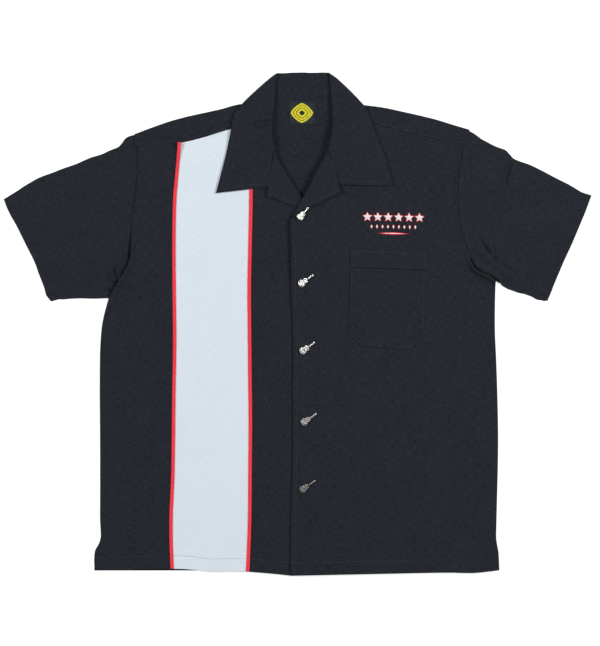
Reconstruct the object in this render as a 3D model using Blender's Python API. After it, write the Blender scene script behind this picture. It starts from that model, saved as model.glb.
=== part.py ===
# Short-sleeved bowling shirt laid flat on its back, front up.
#
# The tables are in millimetres. X runs from the wearer's right sleeve to the wearer's left one, Y from the
# hem to the collar, Z up from the surface the shirt lies on. The origin is on that surface, under the middle
# of the shirt. Each piece is a wall of cloth. The pieces are laid one after another on a map of heights, so
# each rests just clear of what is already under it, and a folded piece is two layers joined by a round turn.

from collections import namedtuple

import bmesh
import bpy
import numpy as np

MM = 0.001

WALL = 1.0            # thickness of one layer of cloth
GAP = 0.3             # clear distance between pieces
PLY = WALL + GAP      # rise from one layer to the next
LOFT = 3.0            # air between front and back, away from the folds
LOFT_REACH = 75.0     # how far in from a fold the air is full
CELL = 1.5            # cell of the map of heights
TURN_STEPS = 4        # faces round a fold
SETTLE_STEPS = 3      # how far a layer bridges over what is under it

YOKE_Y = 265.0        # back yoke seam
HEM_LIFT = 2.0        # how much shorter the back is than the front
PIPING_WIDTH = 6.0
ROLL_LIFT = 3.6       # how far the collar stands up at its rolled edge
LAPEL_LIFT = 1.2      # how far a lapel does
UNDERARM_STEP = (-3.0, 3.5)   # how far a sleeve starts clear of the corner under the arm
PANEL_SETBACK = 2.8   # a front ends this far inside the rolled edge that wraps it
FACING_DEPTH = 14.0   # the part of the facing that shows inside the rolled edge
BUTTON_THICKNESS = 2.2


def table(columns, *rows):
    row = namedtuple("Row", columns)
    return [row(*values) for values in rows]


# Seam lines. Right and left are the wearer's.
SHOULDER_RIGHT = table("x y", (-254, 299), (-217, 314), (-179, 325), (-141, 334), (-103, 343), (-91, 341),
                       (-77, 344), (-65, 347))
SHOULDER_LEFT = table("x y", (268, 306), (218, 322), (180, 331), (143, 339), (125, 343.5), (110, 344.5),
                      (97, 344), (83, 347))
ARMHOLE_RIGHT = table("x y", (-254, 281), (-251, 247), (-253, 223), (-258, 186), (-261, 160), (-263, 128),
                      (-269, 97), (-279, 77), (-290, 61), (-298, 42))
ARMHOLE_LEFT = table("x y", (261, 281), (257, 257), (253, 233), (252, 205), (253, 177), (257, 150), (263, 131),
                     (268, 110), (279, 89), (312, 70))
BODY_SIDE = table("y right left", (22, -303, 311), (-9, -309, 311), (-57, -311, 313), (-183, -311, 316),
                  (-309, -311, 313.5))
SIDE_VENT = table("y right left", (-335, -310, 313), (-345, -312.5, 314), (-356, -318.5, 316), (-364, -320, 317),
                  (-388, -320, 318))
FRONT_YOKE_RIGHT = table("x y", (-254, 281), (-190, 288), (-105, 307), (-59, 319))
FRONT_YOKE_LEFT = table("x y", (261, 281), (214, 292), (160, 305), (120, 317), (78, 329))
NECK_RIGHT = table("x y", (-65, 347), (-62, 333), (-59, 319), (-55, 303), (-49, 286), (-43, 273))
NECK_LEFT = table("x y", (83, 347), (81, 340), (78, 330), (73, 314), (65, 291), (56, 273))
BACK_NECK = table("x y", (-65, 347), (-50, 351), (-25, 352), (9, 352), (43, 352), (68, 351), (83, 347))

# Pale panel between the two pipings on the wearer's right front.
OUTER_SEAM = table("x y", (-187, 288), (-190, 245), (-194, 202), (-195, 148), (-195, -25), (-197, -195),
                   (-200, -309), (-199, -366), (-198, -388))
INNER_SEAM = table("x y", (-74, 315), (-74, 195), (-76, 69), (-75.5, -9), (-75, -246), (-75, -309),
                   (-77, -347), (-79, -390))

# Front edges, from the start of the lapel's roll down to the hem, and the hem corners.
ROLL_RIGHT = table("x y", (-35, 271), (-31, 260), (-23, 246), (-12, 228), (0, 210), (8, 198), (16, 183))
ROLL_LEFT = table("x y", (48, 271), (38, 252), (27, 233), (17, 214), (7, 198), (-1, 182), (-9, 169))
EDGE_RIGHT = table("x y", (16, 183), (24, 165), (24, 65), (24, -240), (24, -392))
EDGE_LEFT = table("x y", (-9, 169), (-13, 158), (-9, 95), (-7, 20), (-7, -88), (-8, -240), (-10, -306),
                  (-11, -396.5))

# Lapels: the free edge, from the tip, a row for each section of the lapel.
LAPEL_RIGHT = table("x y", (-48.5, 203.5), (-46, 199), (-39, 198), (-31, 195.5), (-23, 192), (-15, 188.5),
                    (-8, 186), (-1, 183), (6, 180))
LAPEL_LEFT = table("x y", (67.5, 206.5), (60, 202.5), (51, 198.5), (42, 193.5), (33, 189.5), (24, 185.5),
                   (15, 181), (6, 176.5), (-3, 171.5))
NOTCH_Y = dict(right=213.0, left=219.0)

# Collar, from the lapel up to the shoulder: the rolled edge and the outer edge.
COLLAR_ROLL_RIGHT = table("x y", (-36, 272.5), (-39, 292), (-41, 309), (-39, 328), (-37, 350), (-35, 372),
                          (-34, 390))
COLLAR_ROLL_LEFT = table("x y", (49, 272.5), (52, 288), (55, 309), (55, 330), (54, 350), (52, 372), (51, 390))
COLLAR_EDGE_RIGHT = table("x y", (-127, 208), (-120, 237), (-113, 266), (-108, 289), (-104, 310), (-97.5, 334),
                          (-92, 344.5))
COLLAR_EDGE_LEFT = table("x y", (149, 218), (146, 236), (139, 259), (131, 281), (123, 301), (114.5, 325),
                         (106.5, 345.5))
COLLAR_BACK_FOLD = table("x y", (-26, 395.6), (-12, 396.2), (9, 396.5), (30, 396.2), (44, 395.6))
COLLAR_BACK_EDGE = table("x y", (-91, 341), (-60, 334), (9, 329), (75, 334), (108, 344))
COLLAR_CORNERS = dict(right=(-32.0, 393.0), left=(50.0, 393.0))

# Sleeves: edge over the shoulder, edge under the arm, and the cuff.
SLEEVE_TOP_RIGHT = table("x y", (-254, 299), (-266, 294), (-278, 285), (-284, 276), (-311, 267), (-343, 251),
                         (-373, 241), (-403, 229), (-434, 214), (-463.5, 196))
SLEEVE_TOP_LEFT = table("x y", (268, 306), (288, 293), (307, 281), (329, 273), (339, 262), (360, 251),
                        (382, 240), (437, 211), (463.5, 203))
UNDERARM_RIGHT = table("x y", (-299, 44), (-318, 42), (-340, 42), (-366, 41), (-390, 35))
UNDERARM_LEFT = table("x y", (314, 72), (323, 64), (334, 57), (347, 51), (363, 45), (386, 37))
CUFF_RIGHT = table("x y", (-463.5, 195), (-447, 164), (-431, 131), (-415, 100), (-403, 69), (-396, 50), (-390, 35))
CUFF_LEFT = table("x y", (463.5, 203), (452, 178), (442, 153), (422, 113), (404, 77), (398, 54), (386, 37))

POCKET_LEFT_EDGE = table("x y", (83, 88), (82, 36), (81, -16), (101, -35))
POCKET_RIGHT_EDGE = table("x y", (201, 83), (201, 32), (200, -18), (179, -41))
POCKET_BAND = table("y_centre_side y_armhole_side", (117, 112), (89.5, 84.5))
POCKET_BAND_X = (83.0, 203.0)
LABEL = dict(left=-13.0, right=27.0, top=350.0, bottom=315.0)

# A guitar seen from above: a figure-eight body, a neck and a head.
BUTTON = dict(lower_bout=5.9, upper_bout=4.3, waist=3.5, body=16.4, neck=8.5, neck_width=2.2, head=4.4,
              head_width=3.6)
BUTTONS = table("x y turn", (4.5, 168.5, 49), (7.0, 64, 37), (9.0, -42, 36), (11.0, -154, 34), (9.0, -260, 36))

BLACK = ("black_cloth", (0.018, 0.021, 0.027), 0.85, 0.0)
PALE = ("pale_cloth", (0.70, 0.76, 0.82), 0.85, 0.0)
RED = ("red_piping", (0.78, 0.05, 0.07), 0.7, 0.0)
METAL = ("button_metal", (0.62, 0.62, 0.64), 0.3, 1.0)
LABEL_CLOTH = ("label_cloth", (0.02, 0.02, 0.02), 0.8, 0.0)


# Curves and grids of points in the plane.

def spaced(points, count):
    points = np.asarray(points, float)
    along = np.r_[0.0, np.cumsum(np.linalg.norm(np.diff(points, axis=0), axis=1))]
    at = np.linspace(0.0, along[-1], count)
    return np.stack([np.interp(at, along, points[:, k]) for k in range(points.shape[1])], axis=1)


def straight(rows, count):
    return spaced([(r.x, r.y) for r in rows], count)


def smooth(rows, count, fine=16):
    p = np.array([(r.x, r.y) for r in rows], float)
    p = np.vstack([2 * p[0] - p[1], p, 2 * p[-1] - p[-2]])
    dense = []
    for a, b, c, d in zip(p, p[1:], p[2:], p[3:]):
        for t in np.linspace(0.0, 1.0, fine, endpoint=False):
            dense.append(b + (c - a) * t / 2 + (a - 2.5 * b + 2 * c - d / 2) * t * t
                         + (3 * b - a - 3 * c + d) * t ** 3 / 2)
    dense.append(p[-2])
    return spaced(dense, count)


def through(rows):
    return np.array([(r.x, r.y) for r in rows], float)


def join(*curves):
    return np.vstack([curves[0]] + [c[1:] for c in curves[1:]])


def beside(curve, distance):
    ahead = np.gradient(curve, axis=0)
    ahead /= np.linalg.norm(ahead, axis=1, keepdims=True)
    return curve + distance * np.stack([-ahead[:, 1], ahead[:, 0]], axis=1)


def between(left, right, steps):
    f = np.asarray(steps, float)[None, :, None]
    return left[:, None, :] * (1 - f) + right[:, None, :] * f


def even(count):
    return np.linspace(0.0, 1.0, count)


def crowded(count, power=1.6):
    return np.linspace(0.0, 1.0, count) ** power


def ease(t):
    t = np.clip(t, 0.0, 1.0)
    return t * t * (3 - 2 * t)


# Air between front and back: none along the folds and side seams.

def fold_lines():
    side_right = [(-298, 42)] + [(r.right, r.y) for r in BODY_SIDE + SIDE_VENT]
    side_left = [(312, 70)] + [(r.left, r.y) for r in BODY_SIDE + SIDE_VENT]
    pairs = [through(t) for t in (SHOULDER_RIGHT, SHOULDER_LEFT, SLEEVE_TOP_RIGHT, SLEEVE_TOP_LEFT,
                                  UNDERARM_RIGHT, UNDERARM_LEFT)]
    pairs += [np.array(side_right, float), np.array(side_left, float)]
    pairs += [np.array([(-65, 347), (-33, 391)], float), np.array([(83, 347), (51, 391)], float)]
    return pairs


FOLDS = fold_lines()


def loft(xy):
    nearest = np.full(xy.shape[:-1], 1e9)
    for line in FOLDS:
        for a, b in zip(line, line[1:]):
            t = np.clip(((xy - a) @ (b - a)) / ((b - a) @ (b - a)), 0.0, 1.0)
            nearest = np.minimum(nearest, np.linalg.norm(xy - a - t[..., None] * (b - a), axis=-1))
    return LOFT * ease(nearest / LOFT_REACH)


# The map of heights: the top of all that has been laid so far.

class Stack:
    half_x, half_y = 480.0, 420.0

    def __init__(self):
        shape = (int(2 * self.half_x / CELL), int(2 * self.half_y / CELL))
        self.top = np.full(shape, -GAP)

    def cells(self, xy):
        return (((xy[..., 0] + self.half_x) / CELL).astype(int), ((xy[..., 1] + self.half_y) / CELL).astype(int))

    def rest(self, xy):
        reach = np.zeros(xy.shape[:-1])
        for axis in (0, 1):
            step = np.linalg.norm(np.diff(xy, axis=axis), axis=-1)
            low = [slice(None)] * 2
            high = [slice(None)] * 2
            low[axis], high[axis] = slice(0, -1), slice(1, None)
            reach[tuple(low)] = np.maximum(reach[tuple(low)], step)
            reach[tuple(high)] = np.maximum(reach[tuple(high)], step)
        z = np.zeros(xy.shape[:-1])
        columns, rows = self.cells(xy)
        for index in np.ndindex(z.shape):
            r = int(np.ceil(reach[index] / CELL)) + 1
            i, j = columns[index], rows[index]
            z[index] = self.top[max(i - r, 0):i + r + 1, max(j - r, 0):j + r + 1].max()
        return z + GAP + WALL / 2

    def lay(self, xy, ply, lifted=True):
        z = np.maximum(self.rest(xy), WALL / 2 + PLY * ply + (loft(xy) if lifted else 0.0))
        for _ in range(SETTLE_STEPS):
            z = bridged(z)
        return np.concatenate([xy, z[..., None]], axis=-1)

    def cover(self, *grids):
        for grid in grids:
            longest = max(np.linalg.norm(np.diff(grid, axis=axis), axis=-1).max() for axis in (0, 1))
            steps = np.linspace(0.0, 1.0, int(longest / CELL * 1.5) + 2)
            a, b, c, d = grid[:-1, :-1], grid[1:, :-1], grid[:-1, 1:], grid[1:, 1:]
            for u in steps:
                for v in steps:
                    p = (a * (1 - u) + b * u) * (1 - v) + (c * (1 - u) + d * u) * v
                    i, j = self.cells(p)
                    for di in (-1, 0, 1):
                        for dj in (-1, 0, 1):
                            np.maximum.at(self.top, (i + di, j + dj), p[..., 2] + WALL / 2)


def bridged(z):
    # cloth spans a dip between two high places instead of following it
    padded = np.pad(z, 1, mode="edge")
    along = (padded[2:, 1:-1] + padded[:-2, 1:-1]) / 2
    across = (padded[1:-1, 2:] + padded[1:-1, :-2]) / 2
    return np.maximum(z, np.maximum(along, across))


def turn(first, last, outward, steps=TURN_STEPS):
    # rows between two layers whose ends lie one over the other, on half circles that bulge outward
    middle, radius = (first + last) / 2, (first - last) / 2
    reach = np.linalg.norm(radius, axis=-1, keepdims=True)
    out = np.concatenate([outward, np.zeros(outward.shape[:-1] + (1,))], axis=-1)
    angles = np.linspace(0.0, np.pi, steps + 1)[1:-1]
    return [middle + radius * np.cos(a) + out * reach * np.sin(a) for a in angles]


def toward(vectors):
    vectors = np.asarray(vectors, float)
    return vectors / np.linalg.norm(vectors, axis=-1, keepdims=True)


def outward_of(line, side):
    ahead = toward(np.gradient(line[:, :2], axis=0))
    return side * np.stack([-ahead[:, 1], ahead[:, 0]], axis=1)


# Objects.

def clear_scene():
    for item in list(bpy.data.objects):
        bpy.data.objects.remove(item, do_unlink=True)


def make_material(look):
    name, colour, roughness, metallic = look
    material = bpy.data.materials.get(name) or bpy.data.materials.new(name)
    material.use_nodes = True
    shader = material.node_tree.nodes["Principled BSDF"]
    shader.inputs["Base Color"].default_value = (*colour, 1.0)
    shader.inputs["Roughness"].default_value = roughness
    shader.inputs["Metallic"].default_value = metallic
    return material


def make_object(name, bm, look):
    mesh = bpy.data.meshes.new(name)
    bm.to_mesh(mesh)
    bm.free()
    mesh.materials.append(make_material(look))
    mesh.shade_smooth()
    mesh.set_sharp_from_angle(angle=0.7)
    item = bpy.data.objects.new(name, mesh)
    bpy.context.scene.collection.objects.link(item)
    return item


def make_sheet(name, grid, look, keep=None, ring=False):
    # a wall of cloth about a grid of middle points; keep(row, column) tells which faces there are
    bm = bmesh.new()
    rows, columns = grid.shape[:2]
    points = {}

    def point(i, j):
        key = (i, j % columns) if ring else (i, j)
        if key not in points:
            points[key] = bm.verts.new(grid[key] * MM)
        return points[key]

    for i in range(rows - 1):
        for j in range(columns if ring else columns - 1):
            if keep is None or keep(i, j):
                bm.faces.new((point(i, j), point(i, j + 1), point(i + 1, j + 1), point(i + 1, j)))
    item = make_object(name, bm, look)
    wall = item.modifiers.new("wall", "SOLIDIFY")
    wall.thickness = WALL * MM
    wall.offset = 0.0
    wall.use_even_offset = False
    return item


def make_plate(name, outline, bottom, thickness, look):
    bm = bmesh.new()
    face = bm.faces.new([bm.verts.new((x * MM, y * MM, bottom * MM)) for x, y in outline])
    raised = bmesh.ops.extrude_face_region(bm, geom=[face])["geom"]
    bmesh.ops.translate(bm, verts=[v for v in raised if isinstance(v, bmesh.types.BMVert)],
                        vec=(0.0, 0.0, thickness * MM))
    bmesh.ops.recalc_face_normals(bm, faces=bm.faces)
    return make_object(name, bm, look)


# Armholes: the rows that a sleeve shares with the fronts. Two are on the yoke, the rest on the front.

ARMHOLE_ROWS = 13
SEAM_ROWS = 9


def armhole(shoulder, rows):
    low = np.vstack([smooth(rows[:-1], ARMHOLE_ROWS), [(rows[-1].x, rows[-1].y)]])
    top = np.array([(shoulder[0].x, shoulder[0].y - 1.2)], float)
    return np.vstack([top, (top[0] + low[0]) / 2, low])


def at_height(curve, y):
    order = np.argsort(curve[:, 1])
    return np.array([np.interp(y, curve[order, 1], curve[order, 0]), y])


def side_seam(which, start, count):
    seam = table("x y", start, *[(getattr(r, which), r.y) for r in BODY_SIDE])
    vent = [(getattr(r, which), r.y) for r in SIDE_VENT]
    return np.vstack([smooth(seam, count), vent])


def build():
    clear_scene()
    stack = Stack()
    hole_right = armhole(SHOULDER_RIGHT, ARMHOLE_RIGHT)
    hole_left = armhole(SHOULDER_LEFT, ARMHOLE_LEFT)
    seam_right = side_seam("right", (-298, 42), SEAM_ROWS)
    seam_left = side_seam("left", (312, 70), SEAM_ROWS)

    facings = {side: Facing(stack, side) for side in ("right", "left")}
    collar = Collar(stack, facings)
    yoke = Yoke(stack, hole_right, hole_left)
    sleeves = [Sleeve(stack, "sleeve_right", hole_right, SLEEVE_TOP_RIGHT, UNDERARM_RIGHT, CUFF_RIGHT, -1),
               Sleeve(stack, "sleeve_left", hole_left, SLEEVE_TOP_LEFT, UNDERARM_LEFT, CUFF_LEFT, 1)]

    collar.lay_back_fall()
    make_back(hole_right, hole_left, seam_right, seam_left)
    yoke.lay_back()
    for sleeve in sleeves:
        sleeve.lay_back()
    collar.lay_back_stand()
    stack.cover(yoke.back, collar.back_stand, *[s.back for s in sleeves])
    stack.cover(back_cover(hole_right, hole_left, seam_right, seam_left))
    label = lay_label(stack)
    stack.cover(label)

    lay_front(stack, "right", hole_right, seam_right, yoke, sleeves[0], facings["right"], collar)
    lay_front(stack, "left", hole_left, seam_left, yoke, sleeves[1], facings["left"], collar)
    collar.finish()
    yoke.finish()
    for sleeve in sleeves:
        sleeve.finish()
    make_pocket(stack)
    make_buttons(stack)


def make_back(hole_right, hole_left, seam_right, seam_left):
    edge_right = np.vstack([at_height(hole_right, YOKE_Y - GAP / 2), hole_right[3:], seam_right[1:]])
    edge_left = np.vstack([at_height(hole_left, YOKE_Y - GAP / 2), hole_left[3:], seam_left[1:]])
    edge_right[-1, 1] += HEM_LIFT
    edge_left[-1, 1] += HEM_LIFT
    outline = [tuple(p) for p in edge_right] + [tuple(p) for p in edge_left[::-1]]
    make_plate("back_body", outline, 0.0, WALL, BLACK)


def back_cover(hole_right, hole_left, seam_right, seam_left):
    right = np.vstack([hole_right[3:], seam_right[1:]])
    left = np.vstack([hole_left[3:], seam_left[1:]])
    grid = between(right, left, even(20))
    return np.concatenate([grid, np.full(grid.shape[:2] + (1,), WALL / 2)], axis=-1)


class Yoke:
    # One piece over both shoulders. Its rows run from the front seam over the shoulder to the back seam.
    wing_columns, neck_columns = 8, 9
    front_rows, back_rows = 3, 6

    def __init__(self, stack, hole_right, hole_left):
        self.stack = stack
        right = smooth(SHOULDER_RIGHT, self.wing_columns)
        left = smooth(SHOULDER_LEFT, self.wing_columns)[::-1]
        right[:, 1] -= WALL / 2 + PLY / 2
        left[:, 1] -= WALL / 2 + PLY / 2
        neck = smooth(BACK_NECK, self.neck_columns)[1:-1]
        neck[:, 1] -= GAP + 0.5
        self.ridge = np.vstack([right, neck, left])
        count = len(self.ridge)
        seam_x = np.linspace(at_height(hole_right, YOKE_Y)[0], at_height(hole_left, YOKE_Y)[0], count)
        seam = np.stack([seam_x, np.full(count, YOKE_Y + GAP / 2)], axis=1)
        self.back_xy = between(self.ridge, seam, even(self.back_rows)).transpose(1, 0, 2)
        for row in self.back_xy:
            row[0, 0] = at_height(hole_right, row[0, 1])[0]
            row[-1, 0] = at_height(hole_left, row[-1, 1])[0]
        front_right = beside(smooth(FRONT_YOKE_RIGHT, self.wing_columns), GAP / 2)
        front_left = beside(smooth(FRONT_YOKE_LEFT, self.wing_columns), -GAP / 2)[::-1]
        steps = even(self.front_rows)
        self.front_xy = {"right": between(front_right, right, steps).transpose(1, 0, 2),
                         "left": between(front_left, left, steps).transpose(1, 0, 2)}
        self.front = {}

    def lay_back(self):
        self.back = self.stack.lay(self.back_xy, 0, lifted=False)

    def lay_front(self, side):
        self.front[side] = self.stack.lay(self.front_xy[side], 1)
        return self.front[side]

    def finish(self):
        wing, neck = self.wing_columns, self.neck_columns - 2
        blank = np.zeros((self.front_rows, neck, 3))
        front = np.concatenate([self.front["right"], blank, self.front["left"]], axis=1)
        outward = outward_of(self.ridge, 1.0)
        folded = turn(front[-1], self.back[0], outward)
        grid = np.concatenate([front, np.array(folded), self.back], axis=0)
        open_rows = self.front_rows + len(folded)

        def keep(i, j):
            return i >= open_rows or j < wing - 1 or j >= wing + neck

        make_sheet("back_yoke", grid, BLACK, keep)


class Sleeve:
    # A flat tube. Its rings run from the armhole to the cuff.
    rings = 9

    def __init__(self, stack, name, hole, top, under, cuff, side):
        self.stack, self.name, self.side = stack, name, side
        start = beside(hole, GAP * side)
        start[-1] += UNDERARM_STEP
        across = len(start)
        end = smooth(cuff, across)
        inset = WALL / 2 + PLY / 2
        upper = beside(smooth(top, self.rings), -inset * side)
        lower = beside(smooth(under, self.rings), inset * side)
        end[0], end[-1] = upper[-1], lower[-1]
        upper[0], lower[0] = start[0], start[-1]
        s = even(self.rings)[:, None, None]
        t = even(across)[None, :, None]
        along = (1 - t) * upper[:, None] + t * lower[:, None]
        over = (1 - s) * start[None] + s * end[None]
        corners = ((1 - s) * (1 - t) * start[0] + (1 - s) * t * start[-1]
                   + s * (1 - t) * end[0] + s * t * end[-1])
        self.xy = along + over - corners

    def lay_back(self):
        self.back = self.stack.lay(self.xy, 0, lifted=False)

    def lay_front(self):
        self.front = self.stack.lay(self.xy, 1)
        return self.front

    def finish(self):
        columns = [self.front[:, k] for k in range(self.front.shape[1])]
        columns += turn(self.front[:, -1], self.back[:, -1], outward_of(self.front[:, -1], -self.side))
        columns += [self.back[:, k] for k in reversed(range(self.back.shape[1]))]
        columns += turn(self.back[:, 0], self.front[:, 0], outward_of(self.front[:, 0], self.side))
        make_sheet(self.name, np.stack(columns, axis=1), BLACK, ring=True)


class Collar:
    # One folded band. Its sections run from the neck seam up the stand, over the roll and out along the fall.
    stand_steps, fall_steps = 3, 6
    gorge_sections, roll_sections, back_sections = 5, 8, 9

    def __init__(self, stack, facings):
        self.stack = stack
        self.sides = {}
        for name, roll, edge, neck, shoulder, side in (
                ("right", COLLAR_ROLL_RIGHT, COLLAR_EDGE_RIGHT, NECK_RIGHT, (-63, 350), 1),
                ("left", COLLAR_ROLL_LEFT, COLLAR_EDGE_LEFT, NECK_LEFT, (81, 350), -1)):
            self.sides[name] = self.plan_side(facings[name], roll, edge, neck, COLLAR_CORNERS[name], shoulder,
                                              NOTCH_Y[name], side)
        right, left = self.sides["right"], self.sides["left"]
        fold = smooth(COLLAR_BACK_FOLD, self.back_sections)
        fold[:, 1] -= WALL / 2 + PLY / 2
        edge = smooth(COLLAR_BACK_EDGE, self.back_sections + 2)[1:-1]
        neck = smooth(BACK_NECK, self.back_sections + 2)[1:-1] + (0.0, GAP)
        self.fold = np.vstack([right["ridge"][-1], fold, left["ridge"][-1]])
        self.edge = np.vstack([right["edge"][-1], edge, left["edge"][-1]])
        self.neck = np.vstack([right["neck"][-1], neck, left["neck"][-1]])
        bulge = outward_of(self.fold, 1.0)
        bulge[0], bulge[-1] = right["bulge"][-1], left["bulge"][-1]
        bulge[1], bulge[-2] = toward(bulge[0] + bulge[2]), toward(bulge[-1] + bulge[-3])
        self.bulge = bulge

    def plan_side(self, facing, roll, edge, neck, corner, shoulder, notch_y, side):
        line = smooth(roll, self.roll_sections)
        lift = ROLL_LIFT * ease(even(self.roll_sections)[::-1] / 0.6)
        lift[:2] *= (0.7, 0.9)
        inset = WALL / 2 + (PLY + lift) / 2
        ahead = toward(np.gradient(line, axis=0))
        inward = side * np.stack([-ahead[:, 1], ahead[:, 0]], axis=1)
        ridge = line + inward * inset[:, None]
        outer = smooth(edge, self.gorge_sections + self.roll_sections - 1)
        ridge[-1] = corner
        outer[-1] = outer[-1] + (side * 1.6, -1.6)
        bulge = -inward
        bulge[-1] = toward(ridge[-1] - outer[-1])
        bulge[-2] = toward(bulge[-1] + 2 * bulge[-3])
        tip, top = facing.free[0], facing.ridge[0]
        notch = tip + (top - tip) * (notch_y - tip[1]) / (top[1] - tip[1])
        gorge = beside(spaced([notch, top], self.gorge_sections), side * 2 * GAP)[:-1]
        line = smooth(neck, self.roll_sections + 2)[1:-1][::-1]
        line = beside(line, -side * (GAP + 0.5))
        line[-1] = shoulder
        return dict(ridge=ridge, edge=outer, bulge=bulge, lift=lift, gorge=gorge, neck=line)

    def lay_back_fall(self):
        xy = between(self.fold, self.edge, even(self.fall_steps))
        self.back_fall = self.stack.lay(xy, 0, lifted=False)
        self.stack.cover(self.back_fall)

    def lay_back_stand(self):
        xy = between(self.neck, self.fold, even(self.stand_steps))
        self.back_stand = self.stack.lay(xy, 1, lifted=False)

    def lay_stand(self, name):
        plan = self.sides[name]
        xy = between(plan["neck"], plan["ridge"], even(self.stand_steps))
        plan["stand"] = self.stack.lay(xy, 1)
        return plan["stand"]

    def lay_fall(self, name):
        plan = self.sides[name]
        start = np.vstack([plan["gorge"], plan["ridge"]])
        steps = crowded(self.fall_steps, 1.4)
        plan["fall"] = self.stack.lay(between(start, plan["edge"], steps), 2)
        lift = np.r_[np.zeros(len(plan["gorge"])), plan["lift"]]
        lift[:len(plan["gorge"])] = plan["lift"][0] * even(len(plan["gorge"]) + 1)[:-1] ** 2
        plan["fall"][..., 2] += lift[:, None] * (1 - even(self.fall_steps))[None] ** 2
        return plan["fall"]

    def section(self, stand, fall, bulge):
        return np.concatenate([stand, np.stack(turn(stand[:, -1], fall[:, 0], bulge), axis=1), fall], axis=1)

    def finish(self):
        back = self.section(self.back_stand, self.back_fall, self.bulge)
        halves = {}
        for name, plan in self.sides.items():
            fall = plan["fall"][len(plan["gorge"]):]
            full = self.section(plan["stand"], fall, plan["bulge"])
            blank = np.repeat(full[:1], len(plan["gorge"]), axis=0).copy()
            blank[:, -self.fall_steps:] = plan["fall"][:len(plan["gorge"])]
            halves[name] = np.concatenate([blank, full], axis=0)
        right, left = halves["right"], halves["left"][::-1]
        over_right = turn(right[-1], back[0], self.outward(right[-1], 1.0))
        over_left = turn(back[-1], left[0], self.outward(left[0], -1.0))
        grid = np.concatenate([right, over_right, back, over_left, left], axis=0)
        first, last = self.gorge_sections - 1, len(grid) - self.gorge_sections
        fall_starts = grid.shape[1] - self.fall_steps

        def keep(i, j):
            return j >= fall_starts or first <= i < last

        make_sheet("collar", grid, BLACK, keep)

    def outward(self, row, side):
        ahead = toward(row[-1, :2] - row[self.stand_steps - 1, :2])
        return np.repeat([side * np.array([ahead[1], -ahead[0]])], len(row), axis=0)


def lay_label(stack):
    right = np.array([(LABEL["left"], LABEL["top"]), (LABEL["left"], LABEL["bottom"])])
    left = np.array([(LABEL["right"], LABEL["top"]), (LABEL["right"], LABEL["bottom"])])
    grid = stack.lay(between(right, left, even(2)), 1, lifted=False)
    grid[..., 2] = grid[..., 2].max()
    make_sheet("neck_label", grid, LABEL_CLOTH)
    return grid


def lay_front(stack, side, hole, seam, yoke, sleeve, facing, collar):
    over_arm = sleeve.lay_front()
    wing = yoke.lay_front(side)
    stand = collar.lay_stand(side)
    facing.lay_inside()
    panels = (right_panels if side == "right" else left_panel)(stack, hole, seam, yoke.front_xy[side][0])
    stack.cover(over_arm, wing, stand, *panels)
    if side == "right":
        make_piping(stack, "piping_outer", OUTER_SEAM)
        make_piping(stack, "piping_inner", INNER_SEAM)
    lapel = facing.lay_lapel()
    fall = collar.lay_fall(side)
    stack.cover(lapel, fall)
    facing.finish()


def below_yoke(xy, seam):
    order = np.argsort(seam[:, 0])
    xy[0, :, 1] = np.interp(xy[0, :, 0], seam[order, 0], seam[order, 1]) - GAP
    return xy


def right_panels(stack, hole, seam, yoke_seam):
    outer, inner = smooth(OUTER_SEAM, 20), smooth(INNER_SEAM, 20)
    side_edge = join(hole[2:], seam)
    outer_edge = beside(smooth(OUTER_SEAM, len(side_edge)), -GAP / 2)
    side = stack.lay(below_yoke(between(side_edge, outer_edge, even(6)), yoke_seam), 1)
    pale = between(beside(outer, GAP / 2), beside(inner, -GAP / 2), even(6))
    pale = stack.lay(below_yoke(pale, yoke_seam), 1)
    neck = smooth(NECK_RIGHT[2:], 5)
    roll = beside(smooth(ROLL_RIGHT, 8), -PANEL_SETBACK)
    edge = smooth(EDGE_RIGHT, 12)
    edge[0] = roll[-1]
    front_edge = join(np.vstack([neck, roll[1:]]), edge)
    centre = between(beside(smooth(INNER_SEAM, len(front_edge)), GAP / 2), front_edge, even(7))
    centre = stack.lay(below_yoke(centre, yoke_seam), 1)
    make_sheet("front_right_side", side, BLACK)
    make_sheet("front_right_panel", pale, PALE)
    make_sheet("front_right_centre", centre, BLACK)
    return side, pale, centre


def left_panel(stack, hole, seam, yoke_seam):
    neck = smooth(NECK_LEFT[2:], 5)
    roll = beside(smooth(ROLL_LEFT, 8), PANEL_SETBACK)
    side_edge = join(hole[2:], seam)
    edge = smooth(EDGE_LEFT, len(side_edge) - len(neck) - len(roll) + 2)
    edge[0] = roll[-1]
    front_edge = join(np.vstack([neck, roll[1:]]), edge)
    columns = [0.0, 0.02, 0.05, 0.1, 0.17, 0.26, 0.37, 0.5, 0.63, 0.76, 0.88, 1.0]
    grid = stack.lay(below_yoke(between(front_edge, side_edge, columns), yoke_seam), 1)
    make_sheet("front_left", grid, BLACK)
    return [grid]


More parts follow.
